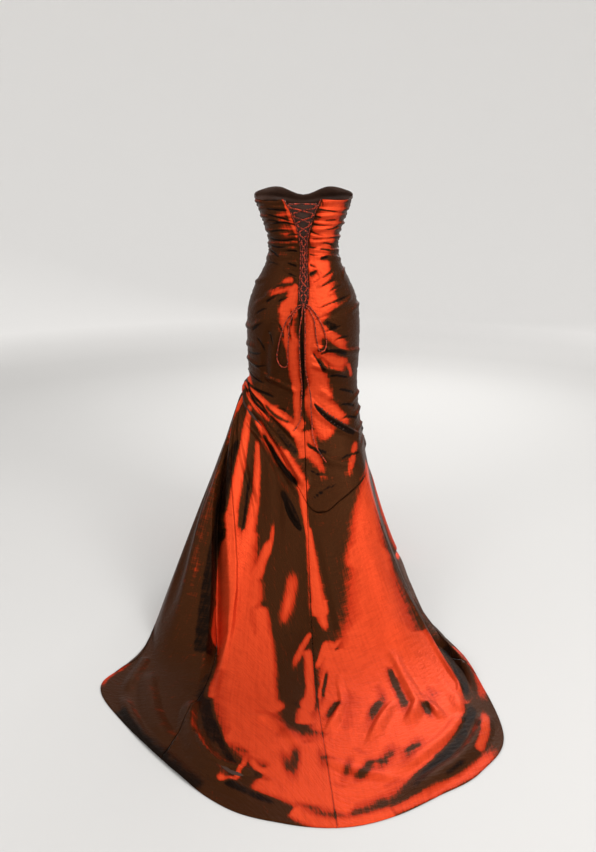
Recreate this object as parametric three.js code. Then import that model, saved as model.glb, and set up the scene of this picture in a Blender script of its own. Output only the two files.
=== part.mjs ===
// Strapless evening gown with a laced back and a train, in its worn form, in millimetres.
// The origin is the middle of the waistline, +Z is up and the back of the gown faces -Y.
// A point of the cloth is named by its bearing (degrees round the body from the centre back,
// + towards +X) and its level (height from the waist; past the floor line the run on the floor).
import * as THREE from "three";
import { mergeVertices } from "three/addons/utils/BufferGeometryUtils.js";

const waistHeight = 1130;
const bodiceWall = 1.6;
const skirtWall = 2.2;
const floorLine = skirtWall - waistHeight;
const flareLevel = -440;
const seamGap = 0.3;
const slantedSeamGap = 0.8;
const normalStep = 5;

const laceDiameter = 4;
const pipingDiameter = 2.4;
const eyeRadius = 4.5;
const eyeCount = 11;
const eyePitch = 28.2;
const topEyeLevel = 127;
const knotLevel = -178;
const knotRadius = 7;
const panelSetBack = 8.5;
const panelSeat = 1.5;

const copper = { color: 0xb4452a, roughness: 0.38, metalness: 0.15 };
const copperDark = { color: 0x8c3520, roughness: 0.42, metalness: 0.1 };
const panelBrown = { color: 0x2c1712, roughness: 0.6, metalness: 0 };

// A table keeps one row per section, rib, edge or fold and gives each value its column name.
function table(columns, rows) {
  return rows.map((row) => Object.fromEntries(columns.map((name, k) => [name, row[k]])));
}

// Half width and the depths behind and in front of the side line, level by level.
const bodySections = table(["level", "halfWidth", "backDepth", "frontDepth"], [
  [-480, 183, 131, 125],
  [-440, 186, 135, 126],
  [-400, 189, 140, 127],
  [-340, 191, 146, 128],
  [-260, 191, 148, 128],
  [-200, 186, 141, 126],
  [-160, 175, 131, 122],
  [-120, 158, 118, 116],
  [-80, 137, 104, 108],
  [-40, 119, 93, 100],
  [0, 113, 88, 96],
  [38, 118, 90, 98],
  [75, 130, 93, 104],
  [110, 142, 97, 110],
  [150, 157, 98, 112],
  [230, 160, 92, 110],
]);

// Where the cloth of each rib lands on the floor and where its hem lies.
// sweep 0 falls straight, 1 rounds out like a quarter ellipse; leave is the slope it starts with.
const skirtRibs = table(["bearing", "landX", "landY", "hemX", "hemY", "sweep", "leave"], [
  [-180, 0, 310, 0, 320, 0.35, 0.15],
  [-150, -190, 265, -195, 273, 0.35, 0.15],
  [-120, -345, 130, -354, 134, 0.35, 0.3],
  [-105, -400, -30, -412, -35, 0.1, 0.9],
  [-90, -444, -250, -458, -262, 0, 1],
  [-75, -466, -520, -480, -640, 0, 1],
  [-62, -430, -690, -562, -812, 0.25, 0.9],
  [-52, -350, -780, -460, -970, 0.5, 0.7],
  [-42, -262, -840, -320, -1130, 0.78, 0.5],
  [-30, -180, -860, -190, -1244, 0.8, 0.3],
  [-15, -70, -862, -50, -1296, 0.8, 0.1],
  [0, 41, -863, 75, -1308, 0.8, 0.1],
  [15, 160, -866, 185, -1280, 0.8, 0.1],
  [30, 290, -868, 300, -1216, 0.78, 0.1],
  [42, 375, -850, 415, -1138, 0.75, 0.1],
  [52, 425, -790, 500, -1010, 0.7, 0.1],
  [62, 434, -672, 485, -760, 0.6, 0.1],
  [75, 388, -478, 404, -508, 0.5, 0.15],
  [90, 360, -205, 372, -216, 0.35, 0.25],
  [105, 348, -14, 360, -17, 0.25, 0.35],
  [120, 316, 132, 325, 137, 0.3, 0.25],
  [150, 180, 265, 185, 273, 0.35, 0.15],
  [180, 0, 310, 0, 320, 0.35, 0.15],
]);

// The slanted seam that joins the ruched upper part to the flared skirt.
const slantedSeam = table(["bearing", "level"], [
  [-180, -600],
  [-150, -540],
  [-120, -482],
  [-90, -446],
  [-75, -462],
  [-57, -508],
  [-32, -612],
  [-16, -702],
  [-5, -768],
  [4, -820],
  [14, -828],
  [27, -800],
  [50, -760],
  [73, -731],
  [90, -715],
  [120, -690],
  [150, -650],
  [180, -600],
]);

// Top edge of the bodice: level across the back, higher at the sides, dipped between the cups.
const topEdge = table(["bearing", "level"], [
  [-180, 158],
  [-150, 184],
  [-118, 174],
  [-96, 164],
  [-80, 153],
  [0, 150],
  [80, 153],
  [96, 164],
  [118, 174],
  [150, 184],
  [180, 158],
]);

// Floor bearing of the cloth that starts at a bearing of the slanted seam:
// everything from -112 to -44 on the floor starts in the gather at the left hip.
const skirtSpread = table(["seamBearing", "floorBearing"], [
  [-95, -112],
  [-90, -75],
  [-84, -44],
  [-66, -30],
  [-33, -15],
  [1, -1],
  [17, 15],
  [30, 30],
  [60, 62],
  [90, 90],
  [130, 130],
  [180, 180],
  [220, 215],
  [265, 248],
]);

// Corners that the upper part and the skirt share along the slanted seam, piece by piece,
// and the number of skirt columns between each corner and the next.
const cornersLeft = [-90, -84, -75.5, -67, -58.5, -50, -41.5, -33, -24.5, -16, -7.5, 1];
const cornersRight = [1, 9.4, 17.8, 26.2, 34.6, 43, 51.5, 60, 70, 80, 90];
const cornersFront = [90, 100, 110, 120, 130, 145, 160, 175, 190, 205, 220, 235, 250, 265, 270];

// Half width of the laced opening, measured from the centre back.
const backOpening = table(["level", "left", "right"], [
  [-250, 0.15, 0.15],
  [-200, 0.15, 0.15],
  [-186, 9, 9],
  [-172, 13.2, 13.2],
  [-60, 13.3, 13.3],
  [8, 14.2, 14.2],
  [48, 22, 20],
  [80, 32, 29],
  [109, 44, 39],
  [150, 66, 57],
  [190, 80, 70],
]);

// Cups of the front: round swellings of the section at these places.
const cups = table(["bearing", "level", "radius", "height"], [
  [-152, 104, 82, 27],
  [152, 104, 82, 27],
]);

// One row per gather, tuck, drape fold or flute: three places it runs through, half width and
// height at both ends, the share of its length over which it rises and fades, and lean
// (+ makes the side on its right hand the steep one). A height below zero is a trough.
const foldColumns = [
  "b0", "l0", "b1", "l1", "b2", "l2", "width0", "width1", "height0", "height1", "rise", "fade", "lean",
];

const bodiceGathersLeft = table(foldColumns, [
  [-25, 142, -52, 137, -92, 143, 9, 12, 3, 5, 0.02, 0.02, 0.3],
  [-22, 121, -50, 123, -92, 113, 10, 11, 3, 4, 0.02, 0.02, 0.2],
  [-17, 101, -56, 94, -92, 97, 9, 12, 3, 6, 0.02, 0.02, 0.35],
  [-14, 76, -52, 80, -92, 66, 11, 10, 4.5, 4, 0.02, 0.02, 0.1],
  [-10, 57, -58, 50, -92, 53, 9, 12, 3, 5, 0.02, 0.02, 0.3],
  [-9, 33, -55, 38, -92, 24, 11, 12, 3.5, 4, 0.02, 0.02, 0.2],
  [-8, 14, -60, 9, -92, 8, 9, 12, 3, 6, 0.02, 0.02, 0.3],
  [-8, -9, -50, -4, -92, -20, 11, 10, 4, 3, 0.1, 0.02, 0.1],
  [-8, -30, -52, -30, -92, -38, 12, 14, 2, 5, 0.3, 0.02, 0.3],
]);

const bodiceGathersRight = table(foldColumns, [
  [22, 138, 50, 143, 92, 136, 12, 9, 5, 3, 0.02, 0.02, -0.2],
  [18, 119, 48, 115, 92, 121, 9, 12, 4, 5, 0.02, 0.02, -0.3],
  [15, 95, 55, 100, 92, 89, 12, 10, 6, 3, 0.02, 0.02, -0.2],
  [12, 78, 52, 73, 92, 74, 9, 12, 3, 6, 0.02, 0.02, -0.35],
  [9, 54, 58, 57, 92, 46, 11, 9, 5, 3, 0.02, 0.02, -0.1],
  [8, 38, 50, 31, 92, 30, 9, 12, 3, 6, 0.02, 0.02, -0.3],
  [8, 15, 58, 17, 92, 2, 12, 9, 5, 3, 0.02, 0.02, -0.2],
  [8, -7, 52, -11, 92, -15, 9, 12, 3, 5, 0.1, 0.02, -0.3],
  [8, -29, 48, -32, 92, -44, 12, 13, 3, 4, 0.3, 0.02, -0.1],
]);

const bodiceGathersFront = table(foldColumns, [
  [93, 150, 140, 154, 178, 138, 11, 10, 4, 4, 0.02, 0.1, 0.2],
  [93, 124, 140, 128, 200, 108, 12, 12, 5, 5, 0.02, 0.1, 0.2],
  [93, 99, 150, 99, 225, 92, 12, 12, 5, 4, 0.02, 0.15, 0.2],
  [93, 73, 150, 74, 215, 66, 12, 12, 5, 4, 0.02, 0.15, 0.2],
  [93, 46, 160, 44, 240, 42, 12, 13, 5, 4, 0.02, 0.15, 0.2],
  [93, 20, 150, 16, 220, 12, 12, 12, 5, 4, 0.02, 0.2, 0.2],
  [93, -8, 160, -14, 235, -18, 13, 12, 5, 3, 0.02, 0.2, 0.2],
  [93, -38, 150, -46, 200, -50, 13, 13, 4, 3, 0.02, 0.2, 0.2],
  [267, 151, 220, 154, 184, 139, 11, 10, 4, 4, 0.02, 0.1, -0.2],
  [267, 127, 225, 128, 195, 119, 12, 12, 5, 5, 0.02, 0.1, -0.2],
  [267, 104, 245, 104, 222, 98, 12, 11, 5, 4, 0.02, 0.3, -0.2],
  [267, 80, 235, 79, 200, 82, 12, 11, 5, 4, 0.02, 0.3, -0.2],
  [267, 54, 240, 53, 215, 56, 12, 11, 5, 4, 0.02, 0.3, -0.2],
  [267, 27, 235, 28, 205, 30, 12, 11, 5, 4, 0.02, 0.3, -0.2],
  [267, -4, 250, -3, 225, -2, 12, 12, 5, 4, 0.02, 0.3, -0.2],
  [267, -34, 230, -32, 195, -34, 13, 12, 4, 3, 0.02, 0.3, -0.2],
]);

const hipTucks = table(foldColumns, [
  [-30, -50, -22, -52, -9, -50, 11, 9, 2, 4, 0.3, 0.1, 0.3],
  [-34, -62, -22, -76, -9, -98, 11, 9, 3, 4, 0.3, 0.1, 0.3],
  [-48, -162, -35, -136, -16, -112, 13, 10, 3, 5, 0.3, 0.1, 0.3],
  [-66, -196, -46, -166, -24, -134, 14, 11, 4, 4, 0.3, 0.2, 0.3],
  [-88, -120, -70, -112, -46, -96, 14, 12, 5, 2, 0.05, 0.4, 0.3],
  [-88, -262, -62, -260, -38, -216, 15, 12, 6, 4, 0.05, 0.3, 0.3],
  [-88, -330, -74, -326, -52, -330, 14, 14, 5, 3, 0.05, 0.4, 0.3],
  [18, -206, 40, -184, 70, -150, 10, 13, 4, 5, 0.15, 0.2, -0.3],
  [14, -124, 32, -98, 54, -70, 9, 12, 4, 4, 0.15, 0.3, -0.3],
  [24, -150, 40, -130, 58, -108, 10, 11, 4, 3, 0.2, 0.3, -0.3],
  [12, -64, 20, -76, 22, -96, 9, 9, 3, 3, 0.3, 0.3, 0],
  [50, -214, 68, -196, 88, -190, 12, 13, 3, 5, 0.3, 0.05, -0.3],
  [56, -110, 70, -84, 88, -72, 11, 13, 3, 5, 0.3, 0.05, -0.3],
]);

const thighFolds = table(foldColumns, [
  [-28, -224, -41, -330, -42, -500, 18, 22, -5, -8, 0.3, 0.3, 0],
  [-22, -250, -31, -340, -32, -470, 16, 18, 4, 5, 0.3, 0.3, 0],
  [-50, -412, -25, -436, -4, -470, 15, 13, 5, 5, 0.2, 0.2, -0.3],
  [-84, -372, -62, -384, -42, -404, 14, 12, 6, 3, 0.05, 0.3, 0],
  [8, -306, 36, -328, 84, -342, 14, 20, 7, 7, 0.15, 0.1, -0.5],
  [6, -366, 24, -386, 52, -408, 12, 16, 5, 7, 0.15, 0.25, -0.5],
  [6, -330, 16, -352, 30, -390, 12, 12, -4, -5, 0.2, 0.3, 0],
  [6, -484, 28, -556, 72, -636, 18, 24, 9, 9, 0.15, 0.1, -0.6],
  [12, -440, 34, -496, 60, -540, 16, 16, 5, 5, 0.3, 0.3, -0.4],
  [88, -494, 72, -500, 50, -520, 13, 12, 7, 4, 0.05, 0.3, 0.3],
  [88, -548, 74, -556, 54, -580, 13, 12, 7, 4, 0.05, 0.3, 0.3],
  [88, -602, 74, -606, 56, -620, 13, 12, 7, 4, 0.05, 0.3, 0.3],
  [88, -650, 78, -652, 64, -668, 13, 12, 6, 3, 0.05, 0.3, 0.3],
  [8, -640, 30, -690, 60, -700, 24, 22, 5, 5, 0.3, 0.3, -0.3],
]);

// The three large folds that swing from the gather at the left hip to the centre back.
const dragFolds = table(foldColumns, [
  [-88, -449, -46, -510, -1, -648, 12, 23, 10, 15, 0.05, 0.2, 0.4],
  [-87, -456, -42, -548, -1, -700, 11, 19, 7, 10, 0.05, 0.25, 0.3],
  [-86, -464, -33, -606, 0, -768, 14, 28, 11, 20, 0.05, 0.12, 0.45],
  [-84, -474, -40, -640, -6, -812, 12, 22, -5, -13, 0.1, 0.2, 0],
  [92, -700, 124, -640, 180, -560, 20, 22, 8, 8, 0.1, 0.1, 0.3],
  [92, -640, 130, -590, 196, -500, 20, 20, 7, 8, 0.1, 0.1, 0.3],
  [112, -560, 160, -540, 262, -446, 22, 12, 8, 9, 0.2, 0.05, 0.3],
  [120, -480, 170, -486, 264, -440, 20, 12, 7, 8, 0.2, 0.05, 0.3],
  [130, -400, 190, -430, 265, -434, 20, 12, 6, 8, 0.2, 0.05, 0.3],
  [170, -330, 220, -380, 265, -428, 18, 12, 5, 7, 0.3, 0.05, 0.3],
]);

// The fan of deep folds that opens from the gather down to the floor.
const fanFolds = table(foldColumns, [
  [-84, -462, -64, -760, -43, -1150, 8, 34, -6, -62, 0.02, 0.1, 0],
  [-86, -456, -72, -640, -70, -860, 8, 26, 4, 14, 0.05, 0.5, 0.3],
  [-80, -470, -57, -780, -40, -1126, 8, 26, 5, 24, 0.05, 0.15, -0.5],
  [-76, -486, -48, -760, -32, -960, 8, 24, 4, 8, 0.05, 0.5, 0.3],
  [-90, -470, -80, -760, -66, -1120, 8, 46, -3, -16, 0.1, 0.2, 0],
  [-94, -470, -98, -760, -104, -1110, 16, 40, 9, 15, 0.1, 0.1, 0],
  [-96, -470, -114, -740, -126, -1110, 8, 44, -2, -14, 0.1, 0.2, 0],
  [-38, -640, -24, -780, -22, -960, 16, 30, -5, -8, 0.2, 0.4, 0],
]);

const skirtFlutes = table(foldColumns, [
  [-8, -880, -8, -1010, -7, -1110, 44, 90, -6, -16, 0.3, 0.25, 0],
  [-13, -930, -13, -1010, -12, -1100, 24, 34, 3, 7, 0.3, 0.3, 0],
  [8, -860, 12, -1000, 13, -1110, 24, 36, 4, 8, 0.3, 0.3, 0.3],
  [36, -860, 38, -1000, 36, -1110, 50, 90, 5, 14, 0.3, 0.25, 0],
  [84, -760, 84, -980, 82, -1120, 24, 44, -4, -12, 0.2, 0.1, 0],
  [104, -740, 104, -960, 104, -1120, 26, 46, 6, 20, 0.2, 0.1, 0],
  [126, -740, 126, -960, 126, -1120, 26, 42, -5, -16, 0.2, 0.1, 0],
  [146, -700, 146, -940, 146, -1120, 26, 42, 6, 20, 0.2, 0.1, 0],
  [166, -680, 166, -920, 166, -1120, 26, 40, -5, -14, 0.2, 0.1, 0],
  [184, -640, 184, -900, 184, -1120, 26, 42, 6, 18, 0.2, 0.1, 0],
  [204, -640, 204, -900, 204, -1120, 26, 42, -5, -15, 0.2, 0.1, 0],
  [224, -560, 226, -880, 226, -1120, 22, 40, 6, 18, 0.2, 0.1, 0],
]);

const trainFolds = table(foldColumns, [
  [62, -1040, 61, -1112, 50, -1180, 22, 28, -10, -20, 0.3, 0.3, 0],
  [74, -1060, 70, -1124, 54, -1210, 20, 34, 10, 24, 0.3, 0.25, 0.2],
  [58, -1000, 55, -1110, 47, -1150, 16, 20, 5, 12, 0.3, 0.3, 0.4],
  [8, -1112, 5, -1180, -1, -1280, 14, 22, 4, 10, 0.25, 0.35, 0.4],
  [25, -1118, 19, -1200, 12, -1330, 16, 26, 5, 12, 0.3, 0.4, 0.4],
  [30, -1092, 31, -1136, 25, -1236, 20, 26, 5, 15, 0.3, 0.3, 0.3],
  [33, -1118, 36, -1160, 38, -1226, 16, 20, 4, 10, 0.3, 0.35, 0.3],
  [45, -1112, 47, -1166, 43, -1222, 22, 28, 3, 9, 0.3, 0.35, -0.2],
  [52, -1262, 38, -1366, 18, -1490, 30, 34, 13, 9, 0.15, 0.3, 0.2],
  [46, -1210, 34, -1300, 18, -1420, 22, 24, 8, 6, 0.2, 0.3, -0.2],
  [-44, -1160, -39, -1330, -20, -1506, 26, 30, 20, 12, 0.15, 0.3, -0.3],
  [-41, -1250, -34, -1370, -22, -1404, 18, 20, 10, 16, 0.25, 0.2, 0.3],
  [-60, -1160, -52, -1250, -42, -1380, 34, 34, 8, 12, 0.2, 0.3, 0],
  [-58, -1268, -47, -1368, -33, -1480, 22, 26, 10, 9, 0.15, 0.25, 0.2],
  [-66, -1150, -62, -1190, -56, -1290, 22, 26, 8, 10, 0.2, 0.3, 0],
  [-26, -1190, -16, -1230, -8, -1340, 22, 26, 8, 10, 0.3, 0.35, 0.2],
  [-4, -1340, 8, -1400, 22, -1410, 24, 24, 5, 6, 0.3, 0.3, 0],
]);

const allFolds = [
  ...bodiceGathersLeft,
  ...bodiceGathersRight,
  ...bodiceGathersFront,
  ...hipTucks,
  ...thighFolds,
  ...dragFolds,
  ...fanFolds,
  ...skirtFlutes,
  ...trainFolds,
];

const toRadians = Math.PI / 180;
const clamp = (value, low, high) => Math.min(high, Math.max(low, value));
const mix = (a, b, t) => a + (b - a) * t;
const add = (a, b, scale = 1) => [a[0] + b[0] * scale, a[1] + b[1] * scale, a[2] + b[2] * scale];
const dot = (a, b) => a[0] * b[0] + a[1] * b[1] + a[2] * b[2];
const cross = (a, b) => [
  a[1] * b[2] - a[2] * b[1],
  a[2] * b[0] - a[0] * b[2],
  a[0] * b[1] - a[1] * b[0],
];

function unit(a) {
  const size = Math.hypot(a[0], a[1], a[2]) || 1;
  return [a[0] / size, a[1] / size, a[2] / size];
}

function smooth(low, high, value) {
  const t = clamp((value - low) / (high - low), 0, 1);
  return t * t * (3 - 2 * t);
}

// Smooth curve through the rows of a table, one value per column, in the order of the key.
function smoothTable(rows, key, period = 0) {
  const names = Object.keys(rows[0]).filter((name) => name !== key);
  let list = rows.map((row) => ({ x: row[key], y: names.map((name) => row[name]) }));
  if (period) {
    const before = list[list.length - 2];
    const after = list[1];
    list = [{ x: before.x - period, y: before.y }, ...list, { x: after.x + period, y: after.y }];
  }
  const slopes = list.map((row, k) => {
    const a = Math.max(k - 1, 0);
    const b = Math.min(k + 1, list.length - 1);
    return row.y.map((value, n) => {
      const left = k > a ? (value - list[a].y[n]) / (row.x - list[a].x) : null;
      const right = b > k ? (list[b].y[n] - value) / (list[b].x - row.x) : null;
      if (left === null) return right;
      if (right === null) return left;
      const hl = row.x - list[a].x;
      const hr = list[b].x - row.x;
      return (left * hr + right * hl) / (hl + hr);
    });
  });
  return (x) => {
    let k = 0;
    while (k < list.length - 2 && x > list[k + 1].x) k += 1;
    const h = list[k + 1].x - list[k].x;
    const t = clamp((x - list[k].x) / h, 0, 1);
    const t2 = t * t;
    const t3 = t2 * t;
    const result = {};
    names.forEach((name, n) => {
      result[name] = (2 * t3 - 3 * t2 + 1) * list[k].y[n]
        + (t3 - 2 * t2 + t) * h * slopes[k][n]
        + (3 * t2 - 2 * t3) * list[k + 1].y[n]
        + (t3 - t2) * h * slopes[k + 1][n];
    });
    return result;
  };
}

const bodyAt = smoothTable(bodySections, "level");
const ribAt = smoothTable(skirtRibs, "bearing", 360);
const seamAt = smoothTable(slantedSeam, "bearing", 360);
const topAt = smoothTable(topEdge, "bearing", 360);
const openingAt = smoothTable(backOpening, "level");
const wrap = (bearing) => ((((bearing + 180) % 360) + 360) % 360) - 180;

// Two half ellipses, the back one and the front one, with the depths of the level's section.
function bodyPoint(bearing, level) {
  const section = bodyAt(level);
  const back = Math.cos(bearing * toRadians);
  const depth = back > 0 ? section.backDepth : section.frontDepth;
  return [section.halfWidth * Math.sin(bearing * toRadians), -depth * back, level];
}

// The body form down to the flare; below it the rib's fall to the floor and then to its hem.
function basePoint(bearingIn, level) {
  const bearing = wrap(bearingIn);
  if (level >= flareLevel) return bodyPoint(bearing, level);
  const rib = ribAt(bearing);
  const knee = bodyPoint(bearing, flareLevel);
  const t = clamp((flareLevel - level) / (flareLevel - floorLine), 0, 1);
  const straight = (t ** 3 - 2 * t ** 2 + t) * rib.leave
    + (3 * t ** 2 - 2 * t ** 3)
    + (t ** 3 - t ** 2) * (1.45 - 0.45 * rib.leave);
  const round = 1 - Math.sqrt(1 - t * t);
  const out = (1 - rib.sweep) * straight + rib.sweep * round;
  const run = Math.max(0, floorLine - level);
  const length = Math.hypot(rib.hemX - rib.landX, rib.hemY - rib.landY);
  const x = mix(knee[0], rib.landX, out) + ((rib.hemX - rib.landX) / length) * run;
  const y = mix(knee[1], rib.landY, out) + ((rib.hemY - rib.landY) / length) * run;
  return [x, y, Math.max(level, floorLine)];
}

function normalOf(place, bearing, level) {
  const radius = Math.hypot(...place(bearing, level).slice(0, 2)) + 1;
  const turn = normalStep / radius / toRadians;
  const across = add(place(bearing + turn, level), place(bearing - turn, level), -1);
  const down = add(place(bearing, level - normalStep), place(bearing, level + normalStep), -1);
  return unit(cross(down, across));
}

// Each fold becomes a chain of places on the plain form, with the direction of its right side.
const foldSteps = 10;
const foldChains = allFolds.map((fold) => {
  const places = [];
  for (let k = 0; k <= foldSteps; k += 1) {
    const t = k / foldSteps;
    const a = (1 - t) * (1 - 2 * t);
    const b = 4 * t * (1 - t);
    const c = t * (2 * t - 1);
    const bearing = a * fold.b0 + b * fold.b1 + c * fold.b2;
    const level = a * fold.l0 + b * fold.l1 + c * fold.l2;
    places.push({ point: basePoint(bearing, level), normal: normalOf(basePoint, bearing, level) });
  }
  const reach = 1.6 * Math.max(fold.width0, fold.width1);
  const low = [0, 1, 2].map((k) => Math.min(...places.map((p) => p.point[k])) - reach);
  const high = [0, 1, 2].map((k) => Math.max(...places.map((p) => p.point[k])) + reach);
  return { fold, places, low, high };
});

// Height of one fold at a point: (1 - x^2)^2 of the distance over the half width.
function oneFold(chain, point) {
  const { fold, places, low, high } = chain;
  for (let k = 0; k < 3; k += 1) {
    if (point[k] < low[k] || point[k] > high[k]) return 0;
  }
  let best = { distance: Infinity, t: 0, side: 0 };
  for (let k = 0; k < foldSteps; k += 1) {
    const start = places[k].point;
    const along = add(places[k + 1].point, start, -1);
    const offset = add(point, start, -1);
    const share = clamp(dot(offset, along) / dot(along, along), 0, 1);
    const gap = add(offset, along, -share);
    const distance = Math.hypot(...gap);
    if (distance < best.distance) {
      const right = cross(unit(along), places[k].normal);
      best = { distance, t: (k + share) / foldSteps, side: dot(gap, right) };
    }
  }
  const { distance, t, side } = best;
  const turn = clamp(side / Math.max(distance, 1e-6), -1, 1);
  const width = mix(fold.width0, fold.width1, t) * (1 - fold.lean * turn);
  const x = distance / width;
  if (x >= 1) return 0;
  const ends = smooth(0, fold.rise, t) * smooth(0, fold.fade, 1 - t);
  return mix(fold.height0, fold.height1, t) * ends * (1 - x * x) ** 2;
}

function cupHeight(bearing, level) {
  return cups.reduce((sum, cup) => {
    const across = wrap(bearing - cup.bearing) * toRadians * 125;
    const x = Math.hypot(across, level - cup.level) / cup.radius;
    return sum + (x < 1 ? cup.height * (1 - x * x) ** 2 : 0);
  }, 0);
}

// The outer face of the cloth: the plain form moved out by its cups and folds.
function clothPoint(bearing, level) {
  const point = basePoint(bearing, level);
  const normal = normalOf(basePoint, bearing, level);
  const folds = foldChains.reduce((sum, chain) => sum + oneFold(chain, point), 0);
  const moved = add(point, normal, folds + cupHeight(bearing, level));
  return [moved[0], moved[1], Math.max(moved[2], floorLine)];
}

function bearingOf(x, level) {
  return Math.asin(clamp(x / bodyAt(level).halfWidth, -1, 1)) / toRadians;
}

// A wall from a grid of named places: outer face, inner face one wall further in, four edges.
// On its edges the wall stands square to the plain form, so that neighbours stay apart.
function clothWall(columns, rows, wall, place, surface = clothPoint, hangFrom = null) {
  const outer = [];
  const inner = [];
  for (let j = 0; j <= rows; j += 1) {
    for (let i = 0; i <= columns; i += 1) {
      const [bearing, level] = place(i / columns, j / rows);
      const onEdge = i === 0 || i === columns || j === 0 || j === rows;
      const hung = j === 0 && hangFrom ? hangFrom(bearing) : null;
      const point = hung ? hung.point : surface(bearing, level);
      const normal = hung ? hung.normal : normalOf(onEdge ? basePoint : surface, bearing, level);
      outer.push(point);
      inner.push(add(point, normal, -wall));
    }
  }
  const positions = [...outer, ...inner].flat();
  const at = (i, j) => j * (columns + 1) + i;
  const under = outer.length;
  const faces = [];
  const quad = (a, b, c, d) => faces.push(a, b, c, a, c, d);
  for (let j = 0; j < rows; j += 1) {
    for (let i = 0; i < columns; i += 1) {
      quad(at(i, j), at(i, j + 1), at(i + 1, j + 1), at(i + 1, j));
      quad(at(i, j) + under, at(i + 1, j) + under, at(i + 1, j + 1) + under, at(i, j + 1) + under);
    }
  }
  for (let i = 0; i < columns; i += 1) {
    quad(at(i, 0), at(i + 1, 0), at(i + 1, 0) + under, at(i, 0) + under);
    quad(at(i + 1, rows), at(i, rows), at(i, rows) + under, at(i + 1, rows) + under);
  }
  for (let j = 0; j < rows; j += 1) {
    quad(at(0, j + 1), at(0, j), at(0, j) + under, at(0, j + 1) + under);
    quad(at(columns, j), at(columns, j + 1), at(columns, j + 1) + under, at(columns, j) + under);
  }
  const geometry = new THREE.BufferGeometry();
  geometry.setAttribute("position", new THREE.Float32BufferAttribute(positions, 3));
  geometry.setIndex(faces);
  return geometry;
}

function meshOf(name, geometry, look) {
  geometry.computeVertexNormals();
  const mesh = new THREE.Mesh(geometry, new THREE.MeshStandardMaterial(look));
  mesh.name = name;
  return mesh;
}

// Rows of the upper part: even over the gathers, then wider apart, then running into the seam.
const gatherEnd = -48;
const evenEnd = -400;

function upperLevel(bearing, share, counts) {
  const total = counts.gathers + counts.hips + counts.drape;
  const row = share * total;
  const top = topAt(wrap(bearing)).level;
  if (row <= counts.gathers) return mix(top, gatherEnd, row / counts.gathers);
  if (row <= counts.gathers + counts.hips) {
    return mix(gatherEnd, evenEnd, (row - counts.gathers) / counts.hips);
  }
  const seam = seamAt(wrap(bearing)).level + slantedSeamGap / 2;
  return mix(evenEnd, seam, (row - counts.gathers - counts.hips) / counts.drape);
}

const backCounts = { gathers: 24, hips: 11, drape: 12 };
const frontCounts = { gathers: 15, hips: 8, drape: 8 };
const sideGapTurn = seamGap / 2 / 175 / toRadians;

// Between its two edges a column runs from an even share at the top to its seam corner.
function columnBearing(first, last, corners, u, level) {
  const even = mix(first, last, u);
  const corner = corners[Math.round(u * (corners.length - 1))];
  const low = corners[0];
  const high = corners[corners.length - 1];
  const seamShare = mix(first, last, (corner - low) / (high - low));
  return mix(even, seamShare, smooth(-100, evenEnd, level));
}

// The centre back seam leans to the right below the hips, by this many degrees at the bottom.
const seamDrift = 1;

function backPlace(side, u, v) {
  const sideSeam = side * (90 - sideGapTurn);
  const guess = upperLevel(side * 20, v, backCounts);
  const opening = openingAt(guess);
  const edge = bearingOf(side * (side < 0 ? opening.left : opening.right), clamp(guess, -480, 230));
  const seamEdge = side * 0.06 + mix(0, seamDrift, smooth(-300, -800, guess));
  const inner = guess > -196 ? edge : seamEdge;
  const bearing = side < 0
    ? columnBearing(sideSeam, inner, cornersLeft, u, guess)
    : columnBearing(inner, sideSeam, cornersRight, u, guess);
  return [bearing, upperLevel(bearing, v, backCounts)];
}

function frontPlace(u, v) {
  const guess = upperLevel(180, v, frontCounts);
  const bearing = columnBearing(90 + sideGapTurn, 270 - sideGapTurn, cornersFront, u, guess);
  return [bearing, upperLevel(bearing, v, frontCounts)];
}

function backHalf(side) {
  const columns = (side < 0 ? cornersLeft : cornersRight).length - 1;
  const rows = backCounts.gathers + backCounts.hips + backCounts.drape;
  return clothWall(columns, rows, bodiceWall, (u, v) => backPlace(side, u, v));
}

function frontUpper() {
  const rows = frontCounts.gathers + frontCounts.hips + frontCounts.drape;
  return clothWall(cornersFront.length - 1, rows, bodiceWall, frontPlace);
}

// The skirt hangs from the straight runs between the lowest corners of the upper part.
const shares = (count) => Array.from({ length: count + 1 }, (_, k) => k / count);
const seamBearings = [
  ...shares(cornersLeft.length - 1).map((u) => backPlace(-1, u, 1)[0]),
  ...shares(cornersRight.length - 1).map((u) => backPlace(1, u, 1)[0]),
  ...shares(cornersFront.length - 1).map((u) => frontPlace(u, 1)[0]),
];
const seamCorners = seamBearings.map((bearing) => {
  const level = seamAt(wrap(bearing)).level - slantedSeamGap / 2;
  return { point: clothPoint(bearing, level), normal: normalOf(basePoint, bearing, level) };
});

function hangFromSeam(bearingIn) {
  const bearing = bearingIn < seamBearings[0] ? bearingIn + 360 : bearingIn;
  let k = 0;
  while (k < seamBearings.length - 2 && bearing > seamBearings[k + 1]) k += 1;
  const t = clamp((bearing - seamBearings[k]) / (seamBearings[k + 1] - seamBearings[k]), 0, 1);
  const between = (key) => seamCorners[k][key].map((value, n) => {
    return mix(value, seamCorners[k + 1][key][n], t);
  });
  return { point: between("point"), normal: unit(between("normal")) };
}

function floorBearingOf(seamBearing) {
  let k = 0;
  while (k < skirtSpread.length - 2 && seamBearing > skirtSpread[k + 1].seamBearing) k += 1;
  const a = skirtSpread[k];
  const b = skirtSpread[k + 1];
  const t = (seamBearing - a.seamBearing) / (b.seamBearing - a.seamBearing);
  return mix(a.floorBearing, b.floorBearing, t);
}

// A skirt piece has its columns between seam corners; its rows crowd where the fall meets the floor.
const fallRows = 15;
const skirtGapTurn = 0.03;

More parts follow.
